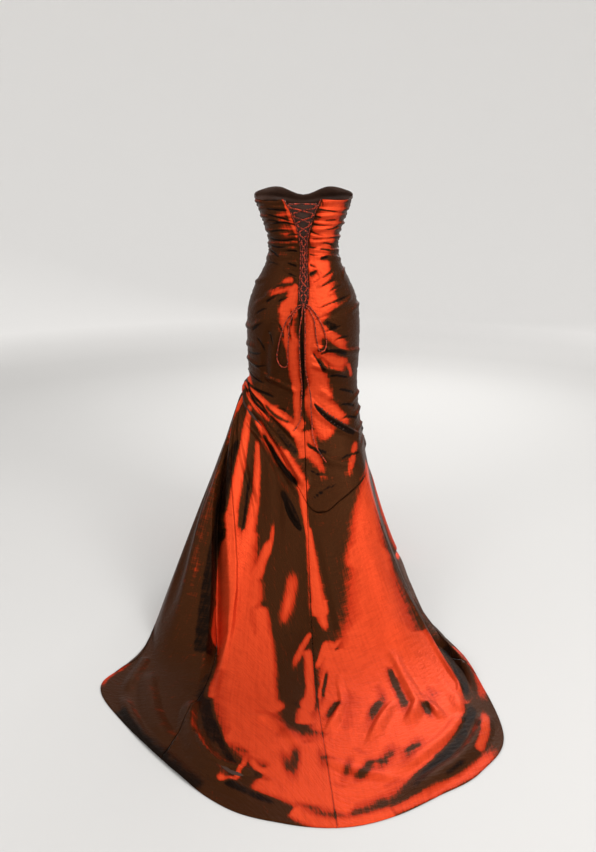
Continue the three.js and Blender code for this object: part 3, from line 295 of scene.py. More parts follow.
# Every fold: bearing and level of three places, half width and height at both ends, share of
# the length over which it rises and fades, lean of its steep side.
mainFolds = [
    (-25, 142, -52, 137, -92, 143, 9, 12, 3, 5, 0.02, 0.02, 0.3),
    (-22, 121, -50, 123, -92, 113, 10, 11, 3, 4, 0.02, 0.02, 0.2),
    (-17, 101, -56, 94, -92, 97, 9, 12, 3, 6, 0.02, 0.02, 0.35),
    (-14, 76, -52, 80, -92, 66, 11, 10, 4.5, 4, 0.02, 0.02, 0.1),
    (-10, 57, -58, 50, -92, 53, 9, 12, 3, 5, 0.02, 0.02, 0.3),
    (-9, 33, -55, 38, -92, 24, 11, 12, 3.5, 4, 0.02, 0.02, 0.2),
    (-8, 14, -60, 9, -92, 8, 9, 12, 3, 6, 0.02, 0.02, 0.3),
    (-8, -9, -50, -4, -92, -20, 11, 10, 4, 3, 0.1, 0.02, 0.1),
    (-8, -30, -52, -30, -92, -38, 12, 14, 2, 5, 0.3, 0.02, 0.3),
    (22, 138, 50, 143, 92, 136, 12, 9, 5, 3, 0.02, 0.02, -0.2),
    (18, 119, 48, 115, 92, 121, 9, 12, 4, 5, 0.02, 0.02, -0.3),
    (15, 95, 55, 100, 92, 89, 12, 10, 6, 3, 0.02, 0.02, -0.2),
    (12, 78, 52, 73, 92, 74, 9, 12, 3, 6, 0.02, 0.02, -0.35),
    (9, 54, 58, 57, 92, 46, 11, 9, 5, 3, 0.02, 0.02, -0.1),
    (8, 38, 50, 31, 92, 30, 9, 12, 3, 6, 0.02, 0.02, -0.3),
    (8, 15, 58, 17, 92, 2, 12, 9, 5, 3, 0.02, 0.02, -0.2),
    (8, -7, 52, -11, 92, -15, 9, 12, 3, 5, 0.1, 0.02, -0.3),
    (8, -29, 48, -32, 92, -44, 12, 13, 3, 4, 0.3, 0.02, -0.1),
    (93, 150, 140, 154, 178, 138, 11, 10, 4, 4, 0.02, 0.1, 0.2),
    (93, 124, 140, 128, 200, 108, 12, 12, 5, 5, 0.02, 0.1, 0.2),
    (93, 99, 150, 99, 225, 92, 12, 12, 5, 4, 0.02, 0.15, 0.2),
    (93, 73, 150, 74, 215, 66, 12, 12, 5, 4, 0.02, 0.15, 0.2),
    (93, 46, 160, 44, 240, 42, 12, 13, 5, 4, 0.02, 0.15, 0.2),
    (93, 20, 150, 16, 220, 12, 12, 12, 5, 4, 0.02, 0.2, 0.2),
    (93, -8, 160, -14, 235, -18, 13, 12, 5, 3, 0.02, 0.2, 0.2),
    (93, -38, 150, -46, 200, -50, 13, 13, 4, 3, 0.02, 0.2, 0.2),
    (267, 151, 220, 154, 184, 139, 11, 10, 4, 4, 0.02, 0.1, -0.2),
    (267, 127, 225, 128, 195, 119, 12, 12, 5, 5, 0.02, 0.1, -0.2),
    (267, 104, 245, 104, 222, 98, 12, 11, 5, 4, 0.02, 0.3, -0.2),
    (267, 80, 235, 79, 200, 82, 12, 11, 5, 4, 0.02, 0.3, -0.2),
    (267, 54, 240, 53, 215, 56, 12, 11, 5, 4, 0.02, 0.3, -0.2),
    (267, 27, 235, 28, 205, 30, 12, 11, 5, 4, 0.02, 0.3, -0.2),
    (267, -4, 250, -3, 225, -2, 12, 12, 5, 4, 0.02, 0.3, -0.2),
    (267, -34, 230, -32, 195, -34, 13, 12, 4, 3, 0.02, 0.3, -0.2),
    (-30, -50, -22, -52, -9, -50, 11, 9, 2, 4, 0.3, 0.1, 0.3),
    (-34, -62, -22, -76, -9, -98, 11, 9, 3, 4, 0.3, 0.1, 0.3),
    (-48, -162, -35, -136, -16, -112, 13, 10, 3, 5, 0.3, 0.1, 0.3),
    (-66, -196, -46, -166, -24, -134, 14, 11, 4, 4, 0.3, 0.2, 0.3),
    (-88, -120, -70, -112, -46, -96, 14, 12, 5, 2, 0.05, 0.4, 0.3),
    (-88, -262, -62, -260, -38, -216, 15, 12, 6, 4, 0.05, 0.3, 0.3),
    (-88, -330, -74, -326, -52, -330, 14, 14, 5, 3, 0.05, 0.4, 0.3),
    (18, -206, 40, -184, 70, -150, 10, 13, 4, 5, 0.15, 0.2, -0.3),
    (14, -124, 32, -98, 54, -70, 9, 12, 4, 4, 0.15, 0.3, -0.3),
    (24, -150, 40, -130, 58, -108, 10, 11, 4, 3, 0.2, 0.3, -0.3),
    (12, -64, 20, -76, 22, -96, 9, 9, 3, 3, 0.3, 0.3, 0),
    (50, -214, 68, -196, 88, -190, 12, 13, 3, 5, 0.3, 0.05, -0.3),
    (56, -110, 70, -84, 88, -72, 11, 13, 3, 5, 0.3, 0.05, -0.3),
    (-28, -224, -41, -330, -42, -500, 18, 22, -5, -8, 0.3, 0.3, 0),
    (-22, -250, -31, -340, -32, -470, 16, 18, 4, 5, 0.3, 0.3, 0),
    (-50, -412, -25, -436, -4, -470, 15, 13, 5, 5, 0.2, 0.2, -0.3),
    (-84, -372, -62, -384, -42, -404, 14, 12, 6, 3, 0.05, 0.3, 0),
    (8, -306, 36, -328, 84, -342, 14, 20, 7, 7, 0.15, 0.1, -0.5),
    (6, -366, 24, -386, 52, -408, 12, 16, 5, 7, 0.15, 0.25, -0.5),
    (6, -330, 16, -352, 30, -390, 12, 12, -4, -5, 0.2, 0.3, 0),
    (6, -484, 28, -556, 72, -636, 18, 24, 9, 9, 0.15, 0.1, -0.6),
    (12, -440, 34, -496, 60, -540, 16, 16, 5, 5, 0.3, 0.3, -0.4),
    (88, -494, 72, -500, 50, -520, 13, 12, 7, 4, 0.05, 0.3, 0.3),
    (88, -548, 74, -556, 54, -580, 13, 12, 7, 4, 0.05, 0.3, 0.3),
    (88, -602, 74, -606, 56, -620, 13, 12, 7, 4, 0.05, 0.3, 0.3),
    (88, -650, 78, -652, 64, -668, 13, 12, 6, 3, 0.05, 0.3, 0.3),
    (8, -640, 30, -690, 60, -700, 24, 22, 5, 5, 0.3, 0.3, -0.3),
    (-88, -449, -46, -510, -1, -648, 12, 23, 10, 15, 0.05, 0.2, 0.4),
    (-87, -456, -42, -548, -1, -700, 11, 19, 7, 10, 0.05, 0.25, 0.3),
    (-86, -464, -33, -606, 0, -768, 14, 28, 11, 20, 0.05, 0.12, 0.45),
    (-84, -474, -40, -640, -6, -812, 12, 22, -5, -13, 0.1, 0.2, 0),
    (92, -700, 124, -640, 180, -560, 20, 22, 8, 8, 0.1, 0.1, 0.3),
    (92, -640, 130, -590, 196, -500, 20, 20, 7, 8, 0.1, 0.1, 0.3),
    (112, -560, 160, -540, 262, -446, 22, 12, 8, 9, 0.2, 0.05, 0.3),
    (120, -480, 170, -486, 264, -440, 20, 12, 7, 8, 0.2, 0.05, 0.3),
    (130, -400, 190, -430, 265, -434, 20, 12, 6, 8, 0.2, 0.05, 0.3),
    (170, -330, 220, -380, 265, -428, 18, 12, 5, 7, 0.3, 0.05, 0.3),
    (-84, -462, -64, -760, -43, -1150, 8, 34, -6, -62, 0.02, 0.1, 0),
    (-86, -456, -72, -640, -70, -860, 8, 26, 4, 14, 0.05, 0.5, 0.3),
    (-80, -470, -57, -780, -40, -1126, 8, 26, 5, 24, 0.05, 0.15, -0.5),
    (-76, -486, -48, -760, -32, -960, 8, 24, 4, 8, 0.05, 0.5, 0.3),
    (-90, -470, -80, -760, -66, -1120, 8, 46, -3, -16, 0.1, 0.2, 0),
    (-94, -470, -98, -760, -104, -1110, 16, 40, 9, 15, 0.1, 0.1, 0),
    (-96, -470, -114, -740, -126, -1110, 8, 44, -2, -14, 0.1, 0.2, 0),
    (-38, -640, -24, -780, -22, -960, 16, 30, -5, -8, 0.2, 0.4, 0),
    (-8, -880, -8, -1010, -7, -1110, 44, 90, -6, -16, 0.3, 0.25, 0),
    (-13, -930, -13, -1010, -12, -1100, 24, 34, 3, 7, 0.3, 0.3, 0),
    (8, -860, 12, -1000, 13, -1110, 24, 36, 4, 8, 0.3, 0.3, 0.3),
    (36, -860, 38, -1000, 36, -1110, 50, 90, 5, 14, 0.3, 0.25, 0),
    (84, -760, 84, -980, 82, -1120, 24, 44, -4, -12, 0.2, 0.1, 0),
    (104, -740, 104, -960, 104, -1120, 26, 46, 6, 20, 0.2, 0.1, 0),
    (126, -740, 126, -960, 126, -1120, 26, 42, -5, -16, 0.2, 0.1, 0),
    (146, -700, 146, -940, 146, -1120, 26, 42, 6, 20, 0.2, 0.1, 0),
    (166, -680, 166, -920, 166, -1120, 26, 40, -5, -14, 0.2, 0.1, 0),
    (184, -640, 184, -900, 184, -1120, 26, 42, 6, 18, 0.2, 0.1, 0),
    (204, -640, 204, -900, 204, -1120, 26, 42, -5, -15, 0.2, 0.1, 0),
    (224, -560, 226, -880, 226, -1120, 22, 40, 6, 18, 0.2, 0.1, 0),
    (62, -1040, 61, -1112, 50, -1180, 22, 28, -10, -20, 0.3, 0.3, 0),
    (74, -1060, 70, -1124, 54, -1210, 20, 34, 10, 24, 0.3, 0.25, 0.2),
    (58, -1000, 55, -1110, 47, -1150, 16, 20, 5, 12, 0.3, 0.3, 0.4),
    (8, -1112, 5, -1180, -1, -1280, 14, 22, 4, 10, 0.25, 0.35, 0.4),
    (25, -1118, 19, -1200, 12, -1330, 16, 26, 5, 12, 0.3, 0.4, 0.4),
    (30, -1092, 31, -1136, 25, -1236, 20, 26, 5, 15, 0.3, 0.3, 0.3),
    (33, -1118, 36, -1160, 38, -1226, 16, 20, 4, 10, 0.3, 0.35, 0.3),
    (45, -1112, 47, -1166, 43, -1222, 22, 28, 3, 9, 0.3, 0.35, -0.2),
    (52, -1262, 38, -1366, 18, -1490, 30, 34, 13, 9, 0.15, 0.3, 0.2),
    (46, -1210, 34, -1300, 18, -1420, 22, 24, 8, 6, 0.2, 0.3, -0.2),
    (-44, -1160, -39, -1330, -20, -1506, 26, 30, 20, 12, 0.15, 0.3, -0.3),
    (-41, -1250, -34, -1370, -22, -1404, 18, 20, 10, 16, 0.25, 0.2, 0.3),
    (-60, -1160, -52, -1250, -42, -1380, 34, 34, 8, 12, 0.2, 0.3, 0),
    (-58, -1268, -47, -1368, -33, -1480, 22, 26, 10, 9, 0.15, 0.25, 0.2),
    (-66, -1150, -62, -1190, -56, -1290, 22, 26, 8, 10, 0.2, 0.3, 0),
    (-26, -1190, -16, -1230, -8, -1340, 22, 26, 8, 10, 0.3, 0.35, 0.2),
    (-4, -1340, 8, -1400, 22, -1410, 24, 24, 5, 6, 0.3, 0.3, 0),
]
# Creases sewn in or pressed in between the main folds, each one placed on its own.
fineFolds = [
    # creases of the right upper half
    (16, 118, 34, 112, 63, 103, 4, 5, -2.4, -1.8, 0.2, 0.4, 0.2),
    (15, 97, 20, 94, 26, 91, 4, 4, -2.2, -2.2, 0.2, 0.5, 0),
    (26, 79, 38, 82, 54, 82, 4, 5, -2, -2.4, 0.4, 0.2, 0.2),
    (11.5, 73, 28, 67, 53, 67, 4, 4, -2.4, -1.6, 0.1, 0.5, 0),
    (30, 55, 44, 55, 60, 64, 4, 5, -1.8, -2.4, 0.4, 0.1, 0.3),
    (9.5, 52, 22, 40, 42, 34, 4, 5, -2.4, -2, 0.1, 0.5, 0),
    (36, 22, 50, 28, 76, 25, 4, 4, -1.8, -2.4, 0.5, 0.1, 0),
    (11.5, 25, 25, 25, 42, 22, 3.6, 4, -2.4, -1.6, 0.2, 0.5, 0),
    (25, 10, 41, 10, 64, -2, 4, 6, -1.6, -2.6, 0.4, 0.3, 0.2),
    (8.5, 1, 17, -2, 26, 4, 4, 4, -2.2, -1.4, 0.1, 0.5, 0),
    (25, -8, 36, -8, 52, -14, 5, 6, -2.8, -2.8, 0.3, 0.3, 0),
    (8.5, -20, 20, -26, 37, -20, 4, 4, -1.8, -1.6, 0.2, 0.6, 0),
    (26, -35, 33, -35, 46, -29, 7, 7, -2.8, -2.4, 0.3, 0.3, 0),
    (8, -53, 14, -59, 21, -65, 5, 5, -2.6, -2.2, 0.2, 0.4, 0),
    (7, -83, 12, -80, 24, -65, 8, 5, -2.6, -2.2, 0.3, 0.4, 0),
    (22, -98, 34, -86, 51, -68, 4, 5, -2.6, -2, 0.3, 0.3, 0.3),
    (10, -113, 16, -104, 28, -89, 4, 4, -1.6, -1.6, 0.4, 0.4, 0.2),
    (20, -125, 30, -113, 50, -95, 4, 6, -2.6, -2.2, 0.3, 0.3, 0.3),
    (28, -146, 36, -131, 54, -119, 4, 5, -2, -2, 0.4, 0.3, 0.3),
    (14, -194, 32, -173, 68, -152, 4, 5, -2.4, -2, 0.3, 0.3, 0.4),
    (8, -230, 16, -218, 28, -206, 4, 4, -1.4, -1.4, 0.4, 0.4, 0.2),
    (19, -269, 26, -260, 46, -245, 4, 5, -1.6, -2, 0.4, 0.3, 0.3),
    (30, -305, 38, -290, 56, -287, 5, 5, -2, -2, 0.4, 0.3, 0.3),
    # creases of the left upper half
    (-58, 142, -40, 145, -24, 139, 5, 4, -2.4, -1.8, 0.2, 0.4, 0.2),
    (-58, 121, -38, 115, -19, 115, 5, 4, -2, -2.6, 0.3, 0.2, 0),
    (-60, 100, -34, 91, -12, 76, 4, 4, -2.6, -2.2, 0.2, 0.2, 0.2),
    (-60, 82, -44, 82, -30, 73, 4, 4, -2.4, -1.6, 0.2, 0.5, 0),
    (-59, 64, -30, 76, -9.5, 64, 4, 5, -2, -2.6, 0.3, 0.1, 0.2),
    (-62, 46, -38, 52, -20, 52, 5, 4, -2.6, -1.8, 0.2, 0.4, 0),
    (-28, 34, -18, 40, -9, 37, 4, 4, -1.8, -2.4, 0.5, 0.1, 0),
    (-74, 25, -40, 19, -10.5, 25, 4, 5, -2.6, -2.4, 0.2, 0.2, 0.3),
    (-69, 4, -41, -2, -19, 7, 5, 4, -2.4, -1.8, 0.2, 0.5, 0),
    (-34, -17, -22, -11, -9, -14, 4, 4, -1.6, -2.2, 0.5, 0.1, 0),
    (-71, -14, -54, -23, -38, -38, 4, 5, -2.6, -2.2, 0.2, 0.4, 0.2),
    (-70, -53, -48, -53, -29, -65, 4, 4, -2, -1.6, 0.2, 0.6, 0),
    (-27, -50, -19, -53, -8, -62, 4, 4, -2.2, -2.2, 0.4, 0.2, 0),
    (-23, -80, -15, -86, -7.5, -92, 4, 4, -2.2, -1.8, 0.4, 0.2, 0),
    (-38, -134, -31, -122, -20, -116, 4, 4, -1.8, -2.2, 0.3, 0.4, 0.2),
    (-45, -182, -36, -161, -23, -143, 5, 4, -2.2, -2.2, 0.3, 0.4, 0.3),
    (-60, -224, -47, -200, -34, -188, 5, 5, -1.8, -1.6, 0.3, 0.5, 0.3),
    (-30, -179, -24, -164, -14, -152, 4, 4, -1.8, -2.2, 0.4, 0.3, 0.2),
    (-64, -278, -50, -248, -39, -233, 5, 5, -2, -1.4, 0.2, 0.6, 0.3),
    (-28, -233, -22, -257, -20, -293, 5, 5, -2, -2.4, 0.4, 0.3, 0),
    (-40, -263, -34, -287, -30, -332, 6, 6, -2.2, -1.8, 0.3, 0.5, 0.2),
    (-55, -293, -46, -314, -42, -359, 6, 6, -2.4, -1.6, 0.2, 0.5, 0.2),
    # creases at the gather of the left hip
    (-76, -422, -56, -440, -34, -452, 6, 6, -2.6, -1.6, 0.05, 0.6, 0.2),
    (-88, -446, -48, -476, -28, -491, 6, 7, -3, -2.4, 0.05, 0.4, 0.3),
    (-72, -455, -55, -494, -40, -530, 5, 6, -2.8, -2.4, 0.05, 0.4, 0.2),
    (-66, -470, -53, -515, -35, -554, 5, 7, -2.8, -2.6, 0.05, 0.3, 0.3),
    (-75, -386, -51, -389, -37, -377, 6, 6, -2.4, -1.4, 0.05, 0.6, 0),
    (-74, -350, -54, -347, -44, -335, 6, 6, -2.2, -1.2, 0.05, 0.6, 0),
    (-18, -788, -13, -836, -3, -878, 8, 11, -5, -7, 0.3, 0.3, 0.2),
    (-37, -626, -22, -695, -4.5, -761, 7, 9, -3.5, -5, 0.2, 0.2, 0.3),
    (-31, -524, -22, -524, -14, -539, 5, 5, -2.4, -2, 0.3, 0.4, 0),
    # creases of the right thigh
    (16, -344, 26, -329, 45, -335, 5, 6, -2.6, -2.6, 0.2, 0.3, 0.3),
    (8.5, -329, 14, -359, 22, -401, 5, 6, -2.4, -2.6, 0.2, 0.3, 0.2),
    (24, -416, 35, -416, 58, -434, 5, 6, -2, -2.4, 0.4, 0.2, 0.2),
    (36, -467, 47, -470, 67, -491, 6, 6, -1.8, -2.6, 0.4, 0.1, 0.2),
    (37, -521, 48, -518, 66, -533, 6, 6, -1.8, -2.6, 0.4, 0.1, 0.2),
    (38, -569, 50, -560, 68, -575, 6, 6, -1.8, -2.6, 0.4, 0.1, 0.2),
    (9.5, -497, 24, -557, 54, -620, 6, 9, -3, -4, 0.1, 0.2, 0.3),
    (1.5, -638, 13, -653, 28, -662, 5, 6, -2.4, -2, 0.2, 0.5, 0.2),
    (3.5, -710, 13, -725, 26, -719, 5, 6, -2, -1.6, 0.2, 0.6, 0.2),
    (3, -800, 16, -770, 34, -746, 5, 6, -1.8, -1.8, 0.3, 0.4, 0.2),
    (28, -692, 43, -677, 61, -677, 6, 6, -1.8, -2.4, 0.4, 0.1, 0),
    # creases of the train
    (-16, -1082, -11.5, -1073, -5, -1070, 9, 9, -0.7, -0.6, 0.3, 0.5, 0),
    (-10, -1130, -8, -1158, -5, -1182, 10, 9, -0.9, -0.7, 0.3, 0.4, 0),
    (-3.5, -1366, 0, -1354, 4, -1374, 12, 12, -0.9, -0.9, 0.4, 0.4, 0),
    (8, -1310, 10.5, -1334, 15, -1330, 12, 11, -1, -0.7, 0.3, 0.5, 0.2),
    (9.5, -1394, 14, -1366, 19, -1374, 12, 12, -0.8, -0.9, 0.4, 0.4, 0.2),
    (-1, -1430, 2, -1450, 7, -1442, 12, 13, -0.8, -0.7, 0.4, 0.4, 0),
    (-24, -1402, -20, -1426, -16, -1430, 13, 12, -1, -0.9, 0.3, 0.4, 0.2),
    (-11.5, -1494, -7.5, -1514, -2.5, -1514, 13, 13, -0.8, -0.8, 0.4, 0.4, 0),
    (14, -1462, 19, -1434, 24, -1418, 12, 12, -0.9, -0.7, 0.3, 0.5, 0.2),
    (22, -1342, 26, -1314, 30, -1306, 12, 11, -0.8, -0.9, 0.4, 0.3, 0.2),
    (-9, -1314, -6, -1298, -3, -1306, 11, 11, -0.8, -0.6, 0.3, 0.5, 0),
    (-28, -1310, -26, -1330, -20, -1334, 12, 11, -0.9, -0.6, 0.3, 0.5, 0),
    (28, -1390, 33, -1362, 38, -1338, 12, 11, -0.9, -0.8, 0.3, 0.3, 0.2),
    # creases of the left side and the front, of the same kind
    (-66, 140, -80, 134, -100, 138, 5, 4, -2.4, -1.8, 0.3, 0.3, 0.2),
    (-72, 112, -90, 106, -112, 109, 4, 5, -1.8, -2.4, 0.3, 0.2, 0),
    (-62, 91, -84, 86, -104, 94, 4, 5, -2.2, -1.8, 0.4, 0.4, 0.2),
    (-76, 70, -98, 76, -124, 70, 5, 4, -2.6, -1.6, 0.2, 0.5, 0),
    (-58, 44, -82, 38, -108, 45, 4, 5, -2.2, -2.4, 0.3, 0.3, 0.2),
    (-70, 20, -96, 27, -116, 18, 5, 4, -2, -2.2, 0.4, 0.3, 0),
    (-64, 2, -80, -4, -102, 4, 5, 5, -2.4, -1.8, 0.3, 0.5, 0.2),
    (-72, -24, -96, -18, -122, -28, 5, 5, -2.2, -2, 0.3, 0.4, 0),
    (-76, -60, -88, -66, -108, -62, 5, 6, -2, -1.6, 0.4, 0.4, 0.2),
    (-84, -92, -96, -84, -116, -88, 6, 5, -2.2, -1.6, 0.3, 0.5, 0),
    (-80, -148, -98, -158, -124, -150, 6, 6, -1.8, -2, 0.4, 0.4, 0.2),
    (-90, -206, -104, -196, -128, -208, 6, 5, -2.4, -1.6, 0.3, 0.5, 0),
    (-84, -270, -104, -286, -132, -280, 6, 7, -2.2, -1.8, 0.3, 0.4, 0.2),
    (-88, -352, -106, -372, -126, -366, 6, 6, -2.6, -1.8, 0.2, 0.5, 0),
    (-90, -404, -112, -410, -140, -396, 6, 7, -2.4, -2, 0.2, 0.4, 0.2),
    (-92, -436, -118, -452, -150, -470, 6, 8, -2.8, -2.2, 0.1, 0.4, 0.2),
    (-122, 130, -140, 137, -164, 128, 4, 5, -2, -2.4, 0.3, 0.4, 0),
    (-112, 118, -126, 110, -138, 114, 4, 4, -2.2, -1.6, 0.3, 0.5, 0.2),
    (-146, 116, -162, 108, -176, 96, 5, 4, -2.2, -2, 0.4, 0.3, 0),
    (-120, 84, -142, 92, -166, 84, 5, 5, -2.4, -1.8, 0.3, 0.4, 0.2),
    (-134, 62, -152, 56, -172, 60, 4, 5, -1.8, -2.2, 0.4, 0.4, 0),
    (-114, 36, -130, 30, -150, 36, 5, 4, -2.2, -1.8, 0.3, 0.5, 0.2),
    (-142, 8, -164, 16, -190, 8, 5, 5, -2, -2.2, 0.3, 0.4, 0),
    (-118, -12, -136, -20, -158, -16, 5, 5, -2.4, -1.6, 0.3, 0.5, 0.2),
    (-128, -56, -146, -48, -170, -58, 5, 6, -1.8, -2.2, 0.4, 0.4, 0),
    (-116, -118, -138, -126, -160, -116, 6, 6, -2, -1.6, 0.4, 0.4, 0.2),
    (-132, -196, -158, -214, -182, -208, 6, 7, -1.8, -1.6, 0.4, 0.4, 0),
    (-120, -330, -146, -352, -176, -346, 6, 8, -2.2, -1.8, 0.3, 0.4, 0.2),
    (-126, -430, -152, -470, -188, -500, 7, 9, -2.6, -2, 0.2, 0.4, 0.2),
    # creases of the right side and the front
    (66, 146, 82, 138, 104, 142, 4, 5, -2, -2.4, 0.3, 0.3, 0),
    (74, 124, 96, 118, 118, 124, 5, 4, -2.4, -1.8, 0.3, 0.4, 0.2),
    (70, 108, 88, 112, 108, 104, 4, 5, -1.8, -2.2, 0.4, 0.3, 0),
    (78, 84, 98, 78, 126, 84, 5, 4, -2.6, -1.8, 0.2, 0.5, 0.2),
    (70, 60, 86, 66, 106, 60, 4, 5, -2, -2.2, 0.3, 0.4, 0),
    (80, 36, 102, 42, 128, 34, 5, 5, -2.2, -1.8, 0.3, 0.4, 0.2),
    (68, 12, 84, 6, 104, 12, 5, 4, -2.4, -2, 0.3, 0.4, 0),
    (76, -12, 100, -20, 122, -12, 5, 5, -2, -2.2, 0.4, 0.4, 0.2),
    (64, -38, 84, -32, 110, -42, 5, 6, -2.2, -1.6, 0.3, 0.5, 0),
    (72, -88, 90, -80, 118, -92, 6, 5, -1.8, -2, 0.4, 0.4, 0.2),
    (66, -130, 84, -118, 112, -122, 6, 6, -2.2, -1.8, 0.3, 0.5, 0),
    (72, -186, 92, -176, 124, -188, 6, 7, -2, -1.6, 0.3, 0.5, 0.2),
    (68, -246, 90, -232, 116, -240, 6, 6, -1.8, -2, 0.4, 0.4, 0),
    (74, -310, 96, -300, 130, -316, 7, 7, -2.2, -1.8, 0.3, 0.4, 0.2),
    (70, -402, 94, -420, 122, -414, 6, 8, -2.4, -2, 0.2, 0.4, 0),
    (82, -470, 104, -480, 138, -462, 7, 8, -2.6, -1.8, 0.3, 0.4, 0.2),
    (78, -520, 98, -536, 122, -524, 7, 8, -2.4, -2, 0.3, 0.4, 0),
    (80, -580, 100, -572, 126, -558, 7, 8, -2.4, -1.8, 0.3, 0.4, 0.2),
    (76, -630, 96, -628, 116, -610, 7, 8, -2.2, -2, 0.3, 0.4, 0),
    (118, 134, 136, 142, 158, 132, 4, 5, -2, -2.2, 0.3, 0.4, 0.2),
    (130, 108, 150, 114, 170, 100, 5, 4, -2.4, -1.8, 0.3, 0.4, 0),
    (124, 62, 140, 56, 160, 60, 4, 5, -1.8, -2.2, 0.4, 0.4, 0.2),
    (138, 34, 158, 28, 178, 30, 5, 5, -2.2, -1.8, 0.3, 0.4, 0),
    (122, 2, 144, 6, 168, -4, 5, 5, -2, -2, 0.4, 0.4, 0.2),
    (132, -28, 152, -36, 176, -30, 5, 6, -2.2, -1.6, 0.3, 0.5, 0),
    (128, -150, 150, -140, 172, -150, 6, 6, -1.8, -1.8, 0.4, 0.4, 0.2),
    (140, -262, 162, -276, 184, -270, 7, 7, -2, -1.6, 0.3, 0.5, 0),
    (134, -520, 160, -500, 190, -470, 8, 8, -2.4, -2, 0.3, 0.3, 0.2),
    (150, -560, 176, -548, 202, -514, 8, 8, -2.2, -2, 0.3, 0.3, 0),
    # creases low on the hidden sides of the skirt
    (-100, -620, -112, -700, -118, -800, 8, 12, -3, -3.4, 0.2, 0.4, 0.2),
    (-128, -700, -134, -800, -132, -920, 9, 12, -2.6, -3, 0.3, 0.4, 0),
    (-152, -760, -158, -880, -154, -1010, 9, 13, -2.6, -3.2, 0.3, 0.4, 0.2),
    (-172, -700, -176, -830, -172, -990, 9, 13, -2.4, -3, 0.3, 0.4, 0),
    (110, -760, 114, -880, 112, -1000, 9, 12, -2.6, -3.2, 0.3, 0.4, 0.2),
    (132, -730, 136, -850, 134, -1010, 9, 13, -2.4, -3, 0.3, 0.4, 0),
    (154, -720, 158, -860, 155, -1020, 9, 13, -2.6, -3, 0.3, 0.4, 0.2),
    (176, -700, 178, -840, 176, -1000, 9, 13, -2.4, -2.8, 0.3, 0.4, 0),
]
foldSteps = 12  # straight steps along each fold's line
foldReach = 1.6  # half widths around the line that a fold can reach
pastWeight = 5  # how much a place past a blunt end counts as further away
foldLines = {}


def foldLine(fold):
    # Places and normals along the quadratic through the fold's three places, kept once found.
    if fold not in foldLines:
        t = np.linspace(0, 1, foldSteps + 1)
        share = np.stack([(1 - t) * (1 - 2 * t), 4 * t * (1 - t), t * (2 * t - 1)])
        bearing = np.array(fold[0:6:2], float) @ share
        level = np.array(fold[1:6:2], float) @ share
        foldLines[fold] = basePoint(bearing, level), normalOf(basePoint, bearing, level)
    return foldLines[fold]


def foldHeight(fold, point, bluntEnds=False):
    # height * (1 - x^2)^2, where x is the distance to the fold's line over its half width;
    # its two ends rise and fade smoothly, or end in a blunt round where the share is 0.
    width0, width1, height0, height1, rise, fade, lean = fold[6:]
    line, lineNormal = foldLine(fold)
    reach = foldReach * max(width0, width1)
    result = np.zeros(point.shape[:-1])
    near = np.all((point > line.min(0) - reach) & (point < line.max(0) + reach), axis=-1)
    if not near.any():
        return result
    spot = point[near]
    best = np.full(len(spot), 1e9)
    at = np.zeros(len(spot))
    side = np.zeros(len(spot))
    for k in range(foldSteps):
        along = line[k + 1] - line[k]
        offset = spot - line[k]
        part = np.clip(offset @ along / (along @ along), 0, 1)
        gap = offset - part[:, None] * along
        past = gap @ unit(along) if bluntEnds else 0
        distance = np.sqrt((gap ** 2).sum(1) + pastWeight * past ** 2)
        closer = distance < best
        best = np.where(closer, distance, best)
        at = np.where(closer, (k + part) / foldSteps, at)
        right = np.cross(unit(along), lineNormal[k])
        side = np.where(closer, gap @ right, side)
    width = width0 + (width1 - width0) * at
    width = width * (1 - lean * np.clip(side / np.maximum(best, 1e-6), -1, 1))
    x = np.minimum(best / width, 1)
    ends = 1 if bluntEnds and rise == 0 else smooth(0, max(rise, 1e-3), at)
    ends = ends * (1 if bluntEnds and fade == 0 else smooth(0, max(fade, 1e-3), 1 - at))
    result[near] = (height0 + (height1 - height0) * at) * ends * (1 - x * x) ** 2
    return result


def cupHeight(bearing, level):
    # height * (1 - x^2)^2 for each cup, where x is the distance to its middle over its radius.
    total = 0
    for cupBearing, cupLevel, radius, height in cups:
        across = np.radians(wrap(bearing - cupBearing)) * cupBodyRadius
        x = np.minimum(np.hypot(across, level - cupLevel) / radius, 1)
        total = total + height * (1 - x * x) ** 2
    return total


def clothPoint(bearing, level):
    # The plain form moved out along its normal by the cups and by all folds together.
    bearing, level = np.broadcast_arrays(np.asarray(bearing, float), np.asarray(level, float))
    point = basePoint(bearing, level)
    height = cupHeight(bearing, level)
    for fold in mainFolds:
        height = height + foldHeight(fold, point)
    moved = point + normalOf(basePoint, bearing, level) * height[..., None]
    moved[..., 2] = np.maximum(moved[..., 2], floorLine)
    return moved


def bearingOf(x, level):
    # The bearing whose sine is x over the half width at the level.
    return np.degrees(np.arcsin(np.clip(x / bodyAt(level)[0], -1, 1)))


print("form of the gown is set")


def newMaterial(name):
    # A node material with its nodes, its links and its shader.
    material = bpy.data.materials.new(name)
    material.use_nodes = True
    nodes = material.node_tree.nodes
    return material, nodes, material.node_tree.links, nodes["Principled BSDF"]


def scaledNoise(nodes, links, scale, detail, roughness=0.55):
    # Noise on the piece's own map, which is in metres: x across the cloth, y down it.
    place = nodes.new("ShaderNodeUVMap")
    place.uv_map = "clothMap"
    mapping = nodes.new("ShaderNodeMapping")
    mapping.inputs["Scale"].default_value = scale
    noise = nodes.new("ShaderNodeTexNoise")
    noise.inputs["Scale"].default_value = 1
    noise.inputs["Detail"].default_value = detail
    noise.inputs["Roughness"].default_value = roughness
    links.new(place.outputs[0], mapping.inputs[0])
    links.new(mapping.outputs[0], noise.inputs["Vector"])
    return noise.outputs["Fac"]


